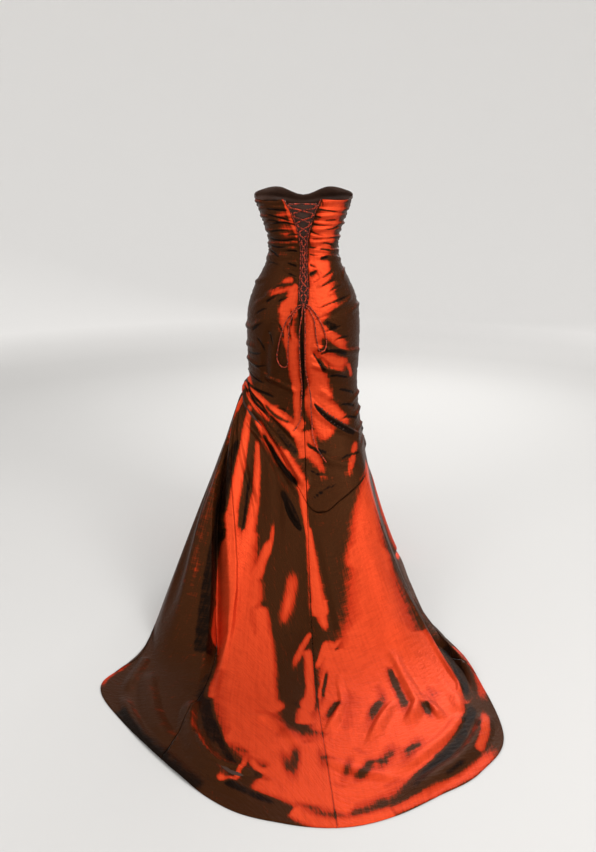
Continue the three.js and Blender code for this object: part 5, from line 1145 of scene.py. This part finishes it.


# Painted highlights and painted shade, fixed on the cloth in place of the shot cloth's sheen that
# turns its orange
# weft or its brown warp to the eye: rows as for the folds, with amounts in place of heights; 0 is
# brown, above a half is orange (painted highlight), below zero is darker (painted shade).
paintedLightZones = [
    # upper right half
    (40, 169, 38, 103, 32, 22, 63, 58, 1.9, 1.9, 0, 0, 0),
    (32, 34, 27, -23, 22, -65, 57, 51, 1.9, 1.8, 0, 0, 0),
    (22, -47, 22, -101, 18, -164, 48, 77, 1.9, 1.9, 0, 0, 0),
    (18, -149, 14, -200, 8, -296, 77, 49, 1.9, 1.8, 0, 0.1, 0),
    (18, -254, 31, -284, 50, -332, 29, 26, 1.8, 1.6, 0.1, 0.25, 0),
    (8, -305, 22, -344, 54, -392, 29, 37, 1.8, 1.7, 0.1, 0.2, 0),
    (7, -290, 12, -383, 19, -479, 42, 53, 1.9, 1.9, 0, 0, 0),
    (11, -452, 28, -521, 56, -587, 50, 24, 1.9, 1.4, 0, 0.2, 0),
    (5.5, -485, 14, -551, 28, -620, 33, 50, 1.9, 1.8, 0, 0.15, 0),
    (3, -590, 6.5, -647, 12, -707, 37, 26, 1.8, 1.5, 0.05, 0.3, 0),
    (11.5, -668, 15, -713, 18, -758, 23, 20, 0.9, 0.6, 0.2, 0.4, 0),
    (50, -374, 56, -404, 62, -437, 13, 14, 1.2, 1, 0.3, 0.3, 0),
    # upper right painted shade
    (23, -35, 34, -38, 49, -26, 13, 19, -1.3, -1.2, 0.4, 0.4, 0),
    (6, -83, 14, -83, 24, -65, 16, 13, -1.3, -1, 0.4, 0.4, 0),
    (10.5, -500, 28, -563, 58, -617, 11, 17, -2.4, -2.4, 0.15, 0.1, 0.2),
    (12, -329, 24, -320, 49, -344, 10, 12, -2, -2, 0.2, 0.1, 0),
    (14, -344, 18, -371, 23, -407, 13, 13, -2, -1.8, 0.3, 0.3, 0),
    (1, -623, 10, -650, 24, -668, 10, 10, -1.8, -1.6, 0.2, 0.3, 0),
    (20, -218, 26, -242, 36, -254, 19, 20, -1.6, -1.6, 0.3, 0.2, 0),
    # left of the lacing
    (-28, 130, -24, 67, -22, -29, 47, 51, 0.55, 0.5, 0.2, 0.3, 0),
    (-40, -167, -33, -140, -23, -122, 29, 26, 0.5, 0.6, 0.3, 0.3, 0),
    (-30, -119, -22, -104, -11, -101, 10, 16, 1.3, 1.6, 0.5, 0.2, 0),
    (-38, -158, -27, -137, -11, -122, 10, 19, 0.9, 1.3, 0.5, 0.2, 0),
    (-8, -110, -12, -149, -16, -200, 13, 42, 1.8, 1.9, 0.15, 0, 0),
    (-15, -182, -16, -242, -11.5, -308, 42, 32, 1.9, 1.9, 0, 0, 0),
    (-11.5, -290, -10.5, -356, -6.5, -458, 32, 23, 1.9, 1.8, 0, 0, 0),
    (-6.5, -437, -6.5, -506, -4, -584, 20, 20, 1.8, 1.8, 0, 0, 0),
    (-24, 151, -21, 121, -18, 91, 8, 9, 1.7, 1.5, 0, 0.1, 0),
    (-20, 91, -14, 64, -7.5, 28, 9, 11, 1.6, 1.7, 0.1, 0.1, 0),
    (-14, -179, -12, -218, -14, -263, 7, 7, -1.6, -1.6, 0.3, 0.3, 0),
    (-18, -230, -14, -263, -12, -302, 8, 8, -1.8, -1.6, 0.3, 0.3, 0),
    (-5, -161, -1.5, -323, -1.5, -557, 8, 9, -1.8, -1.8, 0.1, 0.2, 0),
    # swags from the left hip
    (-86, -431, -51, -494, -30, -548, 14, 20, 1.9, 1.9, 0.05, 0.1, 0),
    (-36, -515, -23, -548, -5, -593, 27, 30, 1.9, 1.9, 0.25, 0.05, 0),
    (-66, -476, -52, -527, -32, -575, 10, 12, 1.5, 1.4, 0.1, 0.3, 0),
    (-9.5, -581, -4, -623, 0.5, -677, 23, 27, 1.9, 1.9, 0.05, 0.05, 0),
    (-14, -611, -6.5, -590, 0.5, -557, 13, 17, 1.6, 1.6, 0.3, 0.1, 0),
    (-52, -551, -38, -620, -20, -683, 13, 37, 1.7, 1.9, 0.2, 0, 0),
    (-24, -662, -11.5, -713, -1, -764, 40, 30, 1.9, 1.9, 0.1, 0, 0),
    (-2, -752, -1.5, -815, 1, -899, 23, 10, 1.9, 1.7, 0, 0.2, 0),
    (-44, -596, -30, -671, -5.5, -764, 9, 11, -2.2, -2.4, 0.2, 0.1, 0.3),
    (-46, -500, -26, -551, -6.5, -572, 9, 10, -2, -2, 0.2, 0.3, 0.2),
    (-29, -575, -18, -623, -5, -671, 13, 17, -1.4, -1.6, 0.3, 0.2, 0),
    (-22, -764, -11.5, -821, -4, -878, 17, 13, -2.2, -2.2, 0.2, 0.3, 0),
    # fan at the left
    (-76, -455, -76, -554, -72, -653, 15, 17, 1.9, 1.3, 0.03, 0.4, 0),
    (-60, -518, -57, -647, -55, -836, 12, 35, 1.8, 1.9, 0.05, 0, 0),
    (-56, -812, -52, -905, -47, -1007, 38, 68, 1.9, 1.9, 0.05, 0, 0),
    (-48, -617, -44, -761, -44, -902, 12, 32, 1.7, 1.9, 0.1, 0, 0),
    (-44, -875, -44, -950, -41, -1028, 45, 86, 1.9, 1.9, 0.05, 0, 0),
    (-50, -710, -48, -821, -47, -914, 7, 10, -1.6, -1.2, 0.2, 0.4, 0),
    (-28, -893, -30, -935, -34, -989, 16, 28, 1.7, 1.7, 0.3, 0.1, 0),
    (-26, -848, -26, -899, -28, -944, 10, 13, 1.1, 1.1, 0.3, 0.3, 0),
    (-42, -998, -40, -1061, -34, -1109, 90, 97, 2, 2, 0, 0, 0),
    (-36, -1100, -30, -1124, -24, -1254, 102, 112, 2, 2, 0, 0, 0),
    (-48, -1013, -47, -1091, -40, -1146, 31, 38, 1.6, 1.6, 0.1, 0.1, 0),
    (-28, -1031, -22, -1097, -14, -1182, 31, 37, 1.5, 1.7, 0.1, 0.1, 0),
    # painted shadow in the valley beside the fan and on the dark side of the train
    (-62, -608, -63, -707, -57, -875, 13, 29, -1.8, -2.2, 0.2, 0, 0),
    (-58, -854, -55, -995, -50, -1100, 29, 35, -2.2, -2.3, 0, 0, 0),
    (-50, -1091, -44, -1130, -34, -1330, 35, 22, -2.3, -2, 0, 0.15, 0),
    (-74, -665, -66, -881, -58, -1091, 26, 59, 0.3, 0.15, 0.1, 0.4, 0),
    (-46, -1174, -36, -1358, -27, -1450, 19, 16, 0.3, 0.2, 0.2, 0.2, 0),
    (-56, -1322, -46, -1378, -34, -1478, 37, 41, -1, -0.9, 0.1, 0.1, 0),
    (-70, -1222, -68, -1270, -61, -1302, 17, 14, 0.8, 1, 0.3, 0.2, 0),
    # middle of the skirt
    (-9, -950, -12, -1013, -16, -1076, 28, 33, 1.3, 1.2, 0.35, 0.4, 0),
    (-10.5, -1001, -14, -1040, -15, -1064, 12, 15, 0.6, 0.5, 0.3, 0.3, 0),
    (1, -863, 2.5, -956, 4, -1043, 13, 39, 1.9, 1.9, 0.05, 0, 0),
    (4, -1022, 5, -1049, 6.5, -1076, 37, 12, 1.9, 1.6, 0.05, 0.3, 0),
    (-0.5, -1070, -5, -1088, -10.5, -1118, 12, 17, 1.6, 1.6, 0.2, 0.25, 0),
    (-4.5, -1094, -3, -1118, -5.5, -1182, 20, 21, 1.8, 1.7, 0.2, 0.1, 0),
    (5.5, -1082, 2.5, -1103, -1, -1115, 12, 11, 1.5, 1.5, 0.2, 0.3, 0),
    (7, -1106, 3.5, -1121, -1, -1130, 14, 16, 1.6, 1.5, 0.2, 0.2, 0),
    (-4, -1124, -5.5, -1158, -6.5, -1222, 22, 36, 1.5, 1.9, 0.2, 0, 0),
    # wide right panel
    (60, -635, 48, -686, 36, -752, 17, 20, 1.4, 1.1, 0.2, 0.35, 0),
    (82, -731, 56, -806, 38, -947, 28, 98, 1.9, 2, 0.05, 0, 0),
    (40, -929, 34, -1031, 29, -1103, 96, 178, 2, 2, 0, 0, 0),
    (32, -1085, 28, -1106, 26, -1121, 181, 189, 2, 2, 0, 0, 0),
    (26, -1121, 22, -1158, 17, -1318, 189, 192, 2, 2, 0, 0, 0),
    (48, -1079, 48, -1118, 42, -1194, 60, 63, 1.9, 1.9, 0.1, 0, 0),
    (9.5, -1094, 5, -1124, 0, -1246, 41, 56, 1.8, 1.8, 0.1, 0, 0),
    (26, -1130, 30, -1218, 35, -1290, 80, 75, 1.9, 1.8, 0.1, 0.1, 0),
    # floor of the train
    (-26, -1262, -12, -1334, 5, -1334, 91, 103, 2, 2, 0, 0, 0),
    (2, -1334, 20, -1318, 40, -1214, 103, 99, 2, 2, 0, 0, 0),
    (-23, -1426, -10, -1478, 2.5, -1494, 47, 63, 2, 2, 0.1, 0, 0),
    (-20, -1378, -9.5, -1418, 3.5, -1426, 48, 61, 1.6, 1.8, 0.2, 0, 0),
    (-24, -1306, -15, -1338, -5.5, -1358, 55, 63, 1.2, 1.4, 0.2, 0.1, 0),
    (1, -1482, 16, -1430, 31, -1326, 68, 59, 2, 1.9, 0, 0.1, 0),
    (-12, -1530, 0, -1566, 17, -1522, 29, 29, 1.9, 1.9, 0, 0.05, 0),
    (16, -1526, 31, -1454, 50, -1362, 20, 27, 1.5, 1.2, 0.05, 0.15, 0),
    (53, -1254, 48, -1314, 43, -1362, 16, 17, 1.9, 1.8, 0.3, 0.15, 0),
    (65, -1121, 64, -1210, 54, -1258, 15, 24, 0.75, 1, 0.2, 0.2, 0),
    (-33, -1422, -28, -1430, -25, -1334, 12, 10, 1.8, 1.8, 0.2, 0.2, 0),
    (-24, -1350, -21, -1398, -16, -1386, 12, 14, 1.7, 1.7, 0.2, 0.2, 0),
    # painted shade on the train
    (7.5, -1130, 4.5, -1162, -1.5, -1254, 19, 23, -2.1, -2.1, 0.4, 0.4, 0),
    (4.5, -1112, 2.5, -1124, -0.5, -1130, 9, 11, -2, -2, 0.3, 0.4, 0),
    (23, -1124, 18, -1162, 12, -1306, 25, 27, -2, -1.9, 0.4, 0.5, 0),
    (30, -1118, 27, -1130, 27, -1226, 22, 31, -2, -1.9, 0.4, 0.5, 0),
    (32, -1130, 34, -1166, 34, -1238, 24, 23, -2, -1.9, 0.4, 0.5, 0),
    (-9.5, -1290, -11, -1370, -12, -1478, 28, 23, -1.7, -1.6, 0.4, 0.5, 0),
    (-16, -1306, -14, -1370, -14, -1430, 20, 16, -1.2, -1.2, 0.4, 0.4, 0),
    (-3, -1298, -2.5, -1358, -2.5, -1418, 20, 19, -1.1, -1.1, 0.4, 0.4, 0),
    (7.5, -1326, 5, -1394, 1.5, -1462, 20, 18, -1.5, -1.4, 0.4, 0.5, 0),
    (14, -1334, 11, -1390, 6.5, -1450, 22, 21, -1.3, -1.2, 0.4, 0.4, 0),
    (23, -1278, 18, -1350, 11, -1434, 35, 26, -1.45, -1.3, 0.4, 0.4, 0),
    (32, -1250, 26, -1322, 19, -1410, 36, 26, -1.35, -1.25, 0.4, 0.4, 0),
    (50, -1214, 36, -1334, 18, -1482, 21, 27, -2.4, -2.2, 0.15, 0.3, 0),
    (64, -1124, 62, -1130, 57, -1142, 12, 17, -2.5, -2.6, 0.4, 0, 0),
    (58, -1142, 54, -1162, 48, -1198, 17, 16, -2.6, -2.2, 0, 0.4, 0),
    (49, -1194, 49, -1218, 48, -1246, 21, 21, -1.2, -1, 0.3, 0.3, 0),
    (-38, -1210, -31, -1338, -26, -1410, 16, 12, -2, -1.6, 0.2, 0.3, 0),
    (-31, -1434, -24, -1470, -13, -1518, 16, 16, -1.8, -1.4, 0.2, 0.3, 0),
    (32, -1434, 36, -1398, 40, -1374, 12, 12, -0.8, -0.8, 0.3, 0.3, 0),
    # left side and front of the upper part
    (-128, 156, -131, 60, -129, -40, 30, 14, 1.6, 1.3, 0, 0.4, 0),
    (-133, -50, -140, -170, -134, -310, 14, 34, 1.3, 1.7, 0.4, 0.2, 0),
    (-136, -280, -146, -400, -150, -540, 38, 26, 1.8, 1.7, 0.1, 0.2, 0),
    (170, 138, 174, 70, 171, 10, 26, 16, 1.6, 1.2, 0, 0.4, 0),
    (166, -40, 160, -150, 168, -330, 12, 40, 1.2, 1.7, 0.4, 0.2, 0),
    (158, -300, 166, -420, 176, -560, 40, 24, 1.8, 1.6, 0.1, 0.3, 0),
    (196, -60, 200, -120, 214, -200, 10, 14, 1.3, 1.1, 0.4, 0.5, 0),
    (104, 118, 108, 60, 106, 6, 12, 14, 1.2, 1, 0.4, 0.4, 0),
    (112, -90, 118, -170, 114, -260, 14, 18, 1.2, 1.3, 0.4, 0.5, 0),
    (-102, -120, -106, -200, -100, -290, 12, 16, 0.9, 1.1, 0.4, 0.5, 0),
    # drapes that run from the right side up to the gather
    (108, -668, 136, -610, 176, -566, 16, 20, 1.7, 1.7, 0.3, 0.3, 0),
    (118, -560, 164, -548, 226, -492, 18, 14, 1.7, 1.6, 0.3, 0.3, 0),
    (128, -470, 176, -490, 256, -446, 18, 10, 1.7, 1.7, 0.3, 0.1, 0),
    (150, -400, 200, -436, 260, -436, 14, 9, 1.5, 1.6, 0.4, 0.1, 0),
    (96, -520, 110, -545, 130, -560, 10, 12, 1.2, 1.1, 0.4, 0.5, 0),
    # flared skirt on the left side, in front and on the right side
    (-104, -560, -110, -800, -112, -1118, 14, 70, 1.7, 1.9, 0.2, 0, 0),
    (-128, -640, -134, -860, -134, -1120, 14, 44, 1.6, 1.8, 0.3, 0, 0),
    (-160, -640, -166, -860, -164, -1120, 24, 84, 1.9, 1.9, 0.2, 0, 0),
    (170, -640, 168, -880, 170, -1120, 10, 30, 1.5, 1.7, 0.3, 0, 0),
    (146, -690, 145, -900, 144, -1120, 20, 80, 1.9, 1.9, 0.2, 0, 0),
    (104, -760, 104, -930, 106, -1120, 16, 60, 1.7, 1.9, 0.3, 0, 0),
    (120, -800, 122, -960, 124, -1120, 8, 20, 1.1, 1.3, 0.4, 0, 0),
    (-88, -1150, -84, -1190, -80, -1240, 20, 24, 0.7, 0.8, 0.3, 0.3, 0),
]


# The shares give how much painted light falls on the upper sides of folds and how much painted
# shade lies in creases.
toneLook = {"brightest": 1.8, "range": (-0.9, 1.6), "upperSideLightShare": 0.5, "steepest": 0.7,
            "creaseShadeShare": 0.75}


def toneAt(point, main, fine, down):
    # The painted highlight and shade zones together; the upper side of every fold is painted
    # lighter and its lower side darker by its steepness down the cloth, as if lit from above; every
    # crease gets painted shade along its bottom.
    # The first sum holds the painted highlights, the second the painted shade.
    paintedHighlight, dark = np.zeros(point.shape[:-1]), np.zeros(point.shape[:-1])
    for zone in paintedLightZones:
        if zone[8] > 0:
            paintedHighlight = paintedHighlight + foldHeight(zone, point, bluntEnds=True)
        else:
            dark = dark + foldHeight(zone, point, bluntEnds=True)
    tone = np.clip(np.minimum(paintedHighlight, toneLook["brightest"]) + dark, *toneLook["range"])
    # Painted light: the side of a fold that faces up is lighter, the side that faces down darker.
    steep = np.gradient(main + fine, axis=0) / np.maximum(np.gradient(down, axis=0), 0.2)
    steep = np.clip(steep, -toneLook["steepest"], toneLook["steepest"])
    # Painted shade along the bottom of every crease.
    return tone + toneLook["upperSideLightShare"] * steep + toneLook["creaseShadeShare"] * np.minimum(fine, 0)


seamLook = {"depth": 0.9, "width": 2.4, "puckerWidth": 11, "turned": 13, "shade": 0.7,
            "shadeWidth": 2.0}


def seamHeight(distance, along, pucker):
    # A narrow trough on the seam, and beside it small puckers of uneven length that die away.
    wave = (np.sin(along / 2.9 + 2.2 * np.sin(along / 41))
            + 0.7 * np.sin(along / 5.3 + 1.3) * np.sin(along / 67 + 0.6))
    trough = -seamLook["depth"] * np.exp(-(distance / seamLook["width"]) ** 2)
    return trough + pucker * wave * np.exp(-distance / seamLook["puckerWidth"])


edgeLook = {"thick": 0.5, "stitch": 0.5, "stitchWidth": 1.8, "pull": 0.25, "pullWidth": 9}


def turnedEdgeHeight(distance, along, wide):
    # A turned edge: a little thicker up to the stitching, a shallow line and faint pulls there.
    off = distance - wide
    thick = edgeLook["thick"] * (1 - smooth(wide - 2, wide + 1, distance))
    line = -edgeLook["stitch"] * np.exp(-(off / edgeLook["stitchWidth"]) ** 2)
    wave = edgeLook["pull"] * np.sin(along / 3.7 + 1.5 * np.sin(along / 31))
    return thick + line + wave * np.exp(-np.abs(off) / edgeLook["pullWidth"])


def finishPiece(name, bearing, level, wall, skip, edges):
    # The form moved out along its normal by the sum of cups, folds, creases and the work at the
    # piece's own sides. edges names each side: a seam with its pucker, or a turned edge.
    point = basePoint(bearing, level)
    across = runLength(point, 1)
    down = runLength(point, 0)
    distances = {
        "left": (across, down), "right": (across[:, -1:] - across, down),
        "top": (down, across), "bottom": (down[-1:] - down, across),
    }
    main = cupHeight(bearing, level) + sum(foldHeight(fold, point) for fold in mainFolds)
    fine = sum(foldHeight(fold, point) for fold in fineFolds)
    height = main + fine
    for edge, (kind, amount) in edges.items():
        distance, along = distances[edge]
        shape = seamHeight if kind == "seam" else turnedEdgeHeight
        height = height + shape(distance, along, amount)
    outer = point + normalOf(basePoint, bearing, level) * height[..., None]
    outer[..., 2] = np.maximum(outer[..., 2], floorLine)
    middle = across[:, [across.shape[1] // 2]]
    # The tone with its painted highlights and painted shade.
    tone = toneAt(point, main, fine, down)
    for edge, (kind, amount) in edges.items():
        if kind == "seam":
            near = distances[edge][0] / seamLook["shadeWidth"]
            tone = tone - seamLook["shade"] * np.exp(-near ** 2)
    return clothPiece(name, outer, wall, skip, across - middle, down, tone, taffeta)


def standFor(piece, node):
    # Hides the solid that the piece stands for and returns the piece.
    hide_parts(node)
    return piece


cornersLeft = [-90, -84, -75.5, -67, -58.5, -50, -41.5, -33, -24.5, -16, -7.5, 1]
cornersRight = [1, 9.4, 17.8, 26.2, 34.6, 43, 51.5, 60, 70, 80, 90]
cornersFront = [90, 100, 110, 120, 130, 145, 160, 175, 190, 205, 220, 235, 250, 265, 270]
upper = {"gatherEnd": -48, "evenEnd": -400, "rows": (0.35, 0.39, 0.26), "seamDrift": 1,
         "backGrid": (109, 253), "frontGrid": (109, 175), "sideRadius": 175, "evenFrom": -100,
         "joinLevel": -200, "joinTurn": 0.06, "driftLevels": (-300, -800), "guessBearing": 20,
         "edges": {"top": ("turned", 6), "left": ("seam", 0.6), "right": ("seam", 0.6),
                   "bottom": ("seam", 0.3)}}
sideGapTurn = math.degrees(gown["seamGap"] / 2 / upper["sideRadius"])


def upperLevel(bearing, v):
    # Straight runs from the top edge to the last gather, to the drape, and into the slanted seam.
    gathers, hips, drape = upper["rows"]
    top = topAt(wrap(bearing))[0]
    seam = seamAt(wrap(bearing))[0] + gown["slantedSeamGap"] / 2
    first = top + (upper["gatherEnd"] - top) * np.clip(v / gathers, 0, 1)
    second = (upper["evenEnd"] - upper["gatherEnd"]) * np.clip((v - gathers) / hips, 0, 1)
    return first + second + (seam - upper["evenEnd"]) * np.clip((v - gathers - hips) / drape, 0, 1)


def columnBearing(first, last, corners, u, level):
    # From an even share at the top to the piece's own corners at the slanted seam.
    even = first + (last - first) * u
    corner = np.interp(u, np.linspace(0, 1, len(corners)), corners)
    share = (corner - corners[0]) / (corners[-1] - corners[0])
    placed = first + (last - first) * share
    return even + (placed - even) * smooth(upper["evenFrom"], upper["evenEnd"], level)


edgeCrowding = 0.45


def uvGrid(columns, rows):
    # Columns lie closer together towards both edges, where the seams are: u less a share of
    # sin(2 pi u) / (2 pi).
    u, v = np.meshgrid(np.linspace(0, 1, columns), np.linspace(0, 1, rows))
    return u - edgeCrowding * np.sin(2 * np.pi * u) / (2 * np.pi), v


def backHalf(name, side):
    # From the side seam to the laced opening, and below the lacing to the centre seam.
    u, v = uvGrid(*upper["backGrid"])
    sideSeam = side * (90 - sideGapTurn)
    guess = upperLevel(side * upper["guessBearing"], v)
    left, right = openingAt(guess)
    edge = bearingOf(side * (left if side < 0 else right), np.clip(guess, *lacedLevels))
    drift = upper["seamDrift"] * smooth(*upper["driftLevels"], guess)
    inner = np.where(guess > upper["joinLevel"], edge, side * upper["joinTurn"] + drift)
    if side < 0:
        bearing = columnBearing(sideSeam, inner, cornersLeft, u, guess)
    else:
        bearing = columnBearing(inner, sideSeam, cornersRight, u, guess)
    piece = finishPiece(name + "_cloth", bearing, upperLevel(bearing, v), gown["bodiceWall"],
                        (1, 3), upper["edges"])
    return standFor(piece, name)


def frontUpper():
    # From one side seam round the front to the other.
    u, v = uvGrid(*upper["frontGrid"])
    guess = upperLevel(180, v)
    bearing = columnBearing(90 + sideGapTurn, 270 - sideGapTurn, cornersFront, u, guess)
    piece = finishPiece("bodice_front_cloth", bearing, upperLevel(bearing, v),
                        gown["bodiceWall"], (1, 3), upper["edges"])
    return standFor(piece, "bodice_front")


skirt = {
    "fallShare": 0.7, "crowding": 1.9, "seamTurn": 0.06, "floorTurn": 0.03,
    "edges": {"top": ("seam", 0.3), "left": ("seam", 0.5), "right": ("seam", 0.5),
              "bottom": ("turned", seamLook["turned"])},
}
# Bearings of both side seams at the slanted seam, columns and rows.
skirtPieces = {
    "skirt_back_left": (-84, 1, 193, 301),
    "skirt_back_right": (1, 60, 193, 301),
    "skirt_side_right": (60, 130, 121, 151),
    "skirt_front": (130, 265, 151, 151),
    "skirt_side_left": (-95, -84, 127, 181),
}


def skirtPiece(name, first, last, columns, rows):
    # Columns run from the slanted seam to their floor bearing, then out along the floor.
    u, v = uvGrid(columns, rows)
    seamBearing = first + (last - first) * u
    floorBearing = np.interp(seamBearing, skirtSpread[:, 0], skirtSpread[:, 1])
    edge = np.where(u < 1e-6, 1, np.where(u > 1 - 1e-6, -1, 0))
    seamBearing = seamBearing + edge * skirt["seamTurn"]
    floorBearing = floorBearing + edge * skirt["floorTurn"]
    seam = seamAt(wrap(seamBearing))[0] - gown["slantedSeamGap"] / 2
    landX, landY, hemX, hemY, sweep, leave = ribAt(wrap(floorBearing))
    length = np.hypot(hemX - landX, hemY - landY)
    fall = np.clip(v / skirt["fallShare"], 0, 1)
    run = np.clip((v - skirt["fallShare"]) / (1 - skirt["fallShare"]), 0, 1)
    level = seam + (floorLine - seam) * (1 - (1 - fall) ** skirt["crowding"]) - length * run
    fallen = np.clip((seam - level) / (seam - floorLine), 0, 1)
    bearing = seamBearing + (floorBearing - seamBearing) * fallen
    piece = finishPiece(name + "_cloth", bearing, level, gown["skirtWall"], (3, 1),
                        skirt["edges"])
    return standFor(piece, name)


panel = {"setBack": 8.5, "seat": 1.5, "top": 130, "bottom": -214, "under": 30, "grid": (73, 109),
         "seated": (3, 20), "pull": 0.45}


def modestyPanel():
    # Set back in the opening, seated on the bodice's inside at its sides, with soft pulls across.
    columns, rows = panel["grid"]
    u, v = np.meshgrid(np.linspace(0, 1, columns), np.linspace(0, 1, rows))
    level = panel["top"] + (panel["bottom"] - panel["top"]) * v
    left, right = openingAt(level)
    first = bearingOf(-left - panel["under"], level)
    last = bearingOf(right + panel["under"], level)
    bearing = first + (last - first) * u
    point = basePoint(bearing, level)
    half = np.where(point[..., 0] < 0, left, right)
    seat = smooth(half + panel["seated"][0], half + panel["seated"][1], np.abs(point[..., 0]))
    back = panel["setBack"] + (gown["bodiceWall"] + panel["seat"] - panel["setBack"]) * seat
    wave = np.sin(level / 6.3 + 1.4 * np.sin(level / 37) + point[..., 0] / 19)
    pulls = panel["pull"] * wave * (1 - seat)
    outer = point - normalOf(basePoint, bearing, level) * (back - pulls)[..., None]
    across = runLength(point, 1)
    piece = clothPiece("modesty_panel_cloth", outer, gown["bodiceWall"], (1, 3), across,
                       runLength(point, 0), 0 * level, lining)
    return standFor(piece, "modesty_panel")


print("materials are set")
modestyPanel()
backHalf("bodice_back_left", -1)
backHalf("bodice_back_right", 1)
frontUpper()
for name, facts in skirtPieces.items():
    skirtPiece(name, *facts)


def backdrop(name, look):
    # A profile turned once round: flat out to a radius, a quarter circle up, then straight up.
    turn = np.linspace(0, np.pi / 2, look["bendSteps"])
    radius = np.concatenate([look["innerRadii"], look["flatRadius"] + look["bend"] * np.sin(turn),
                             [look["flatRadius"] + look["bend"]]])
    height = np.concatenate([[0, 0], look["bend"] * (1 - np.cos(turn)), [look["height"]]])
    angle = np.arange(look["aroundSteps"]) * 2 * np.pi / look["aroundSteps"]
    x = radius[:, None] * np.cos(angle)
    y = radius[:, None] * np.sin(angle)
    z = np.broadcast_to(height[:, None] + look["floorLevel"], x.shape)
    at = np.arange(x.size).reshape(x.shape)
    beside = np.roll(at, -1, 1)
    faces = np.stack([at[:-1], at[1:], beside[1:], beside[:-1]], -1).reshape(-1, 4)
    faces = faces[:, ::-1].tolist() + [at[0].tolist()]
    mesh = bpy.data.meshes.new(name)
    mesh.from_pydata(np.stack([x, y, z], -1).reshape(-1, 3).tolist(), [], faces)
    mesh.polygons.foreach_set("use_smooth", [True] * len(mesh.polygons))
    material, nodes, links, shader = newMaterial(name)
    # The floor's colour turns into the wall's over the first part of its height, because the
    # lamps' light fades there. The place on the ramp is the height in metres plus its start.
    place = nodes.new("ShaderNodeTexCoord")
    parts = nodes.new("ShaderNodeSeparateXYZ")
    links.new(place.outputs["Object"], parts.inputs[0])
    rise = mathNode(nodes, links, "ADD", parts.outputs["Z"],
                    look["rampFrom"] + gown["waistHeight"] * mm)
    stops = [(look["rampFrom"], look["floor"]), (look["rampFrom"] + look["fade"], look["wall"])]
    links.new(rampNode(nodes, links, rise, stops), shader.inputs["Base Color"])
    shader.inputs["Roughness"].default_value = look["roughness"]
    shader.inputs["Specular IOR Level"].default_value = look["specular"]
    mesh.materials.append(material)
    piece = bpy.data.objects.new(name, mesh)
    bpy.context.scene.collection.objects.link(piece)
    return piece


backdrop("paleFloor", studio)
print("floor and wall are set")

bpy.context.view_layer.update()
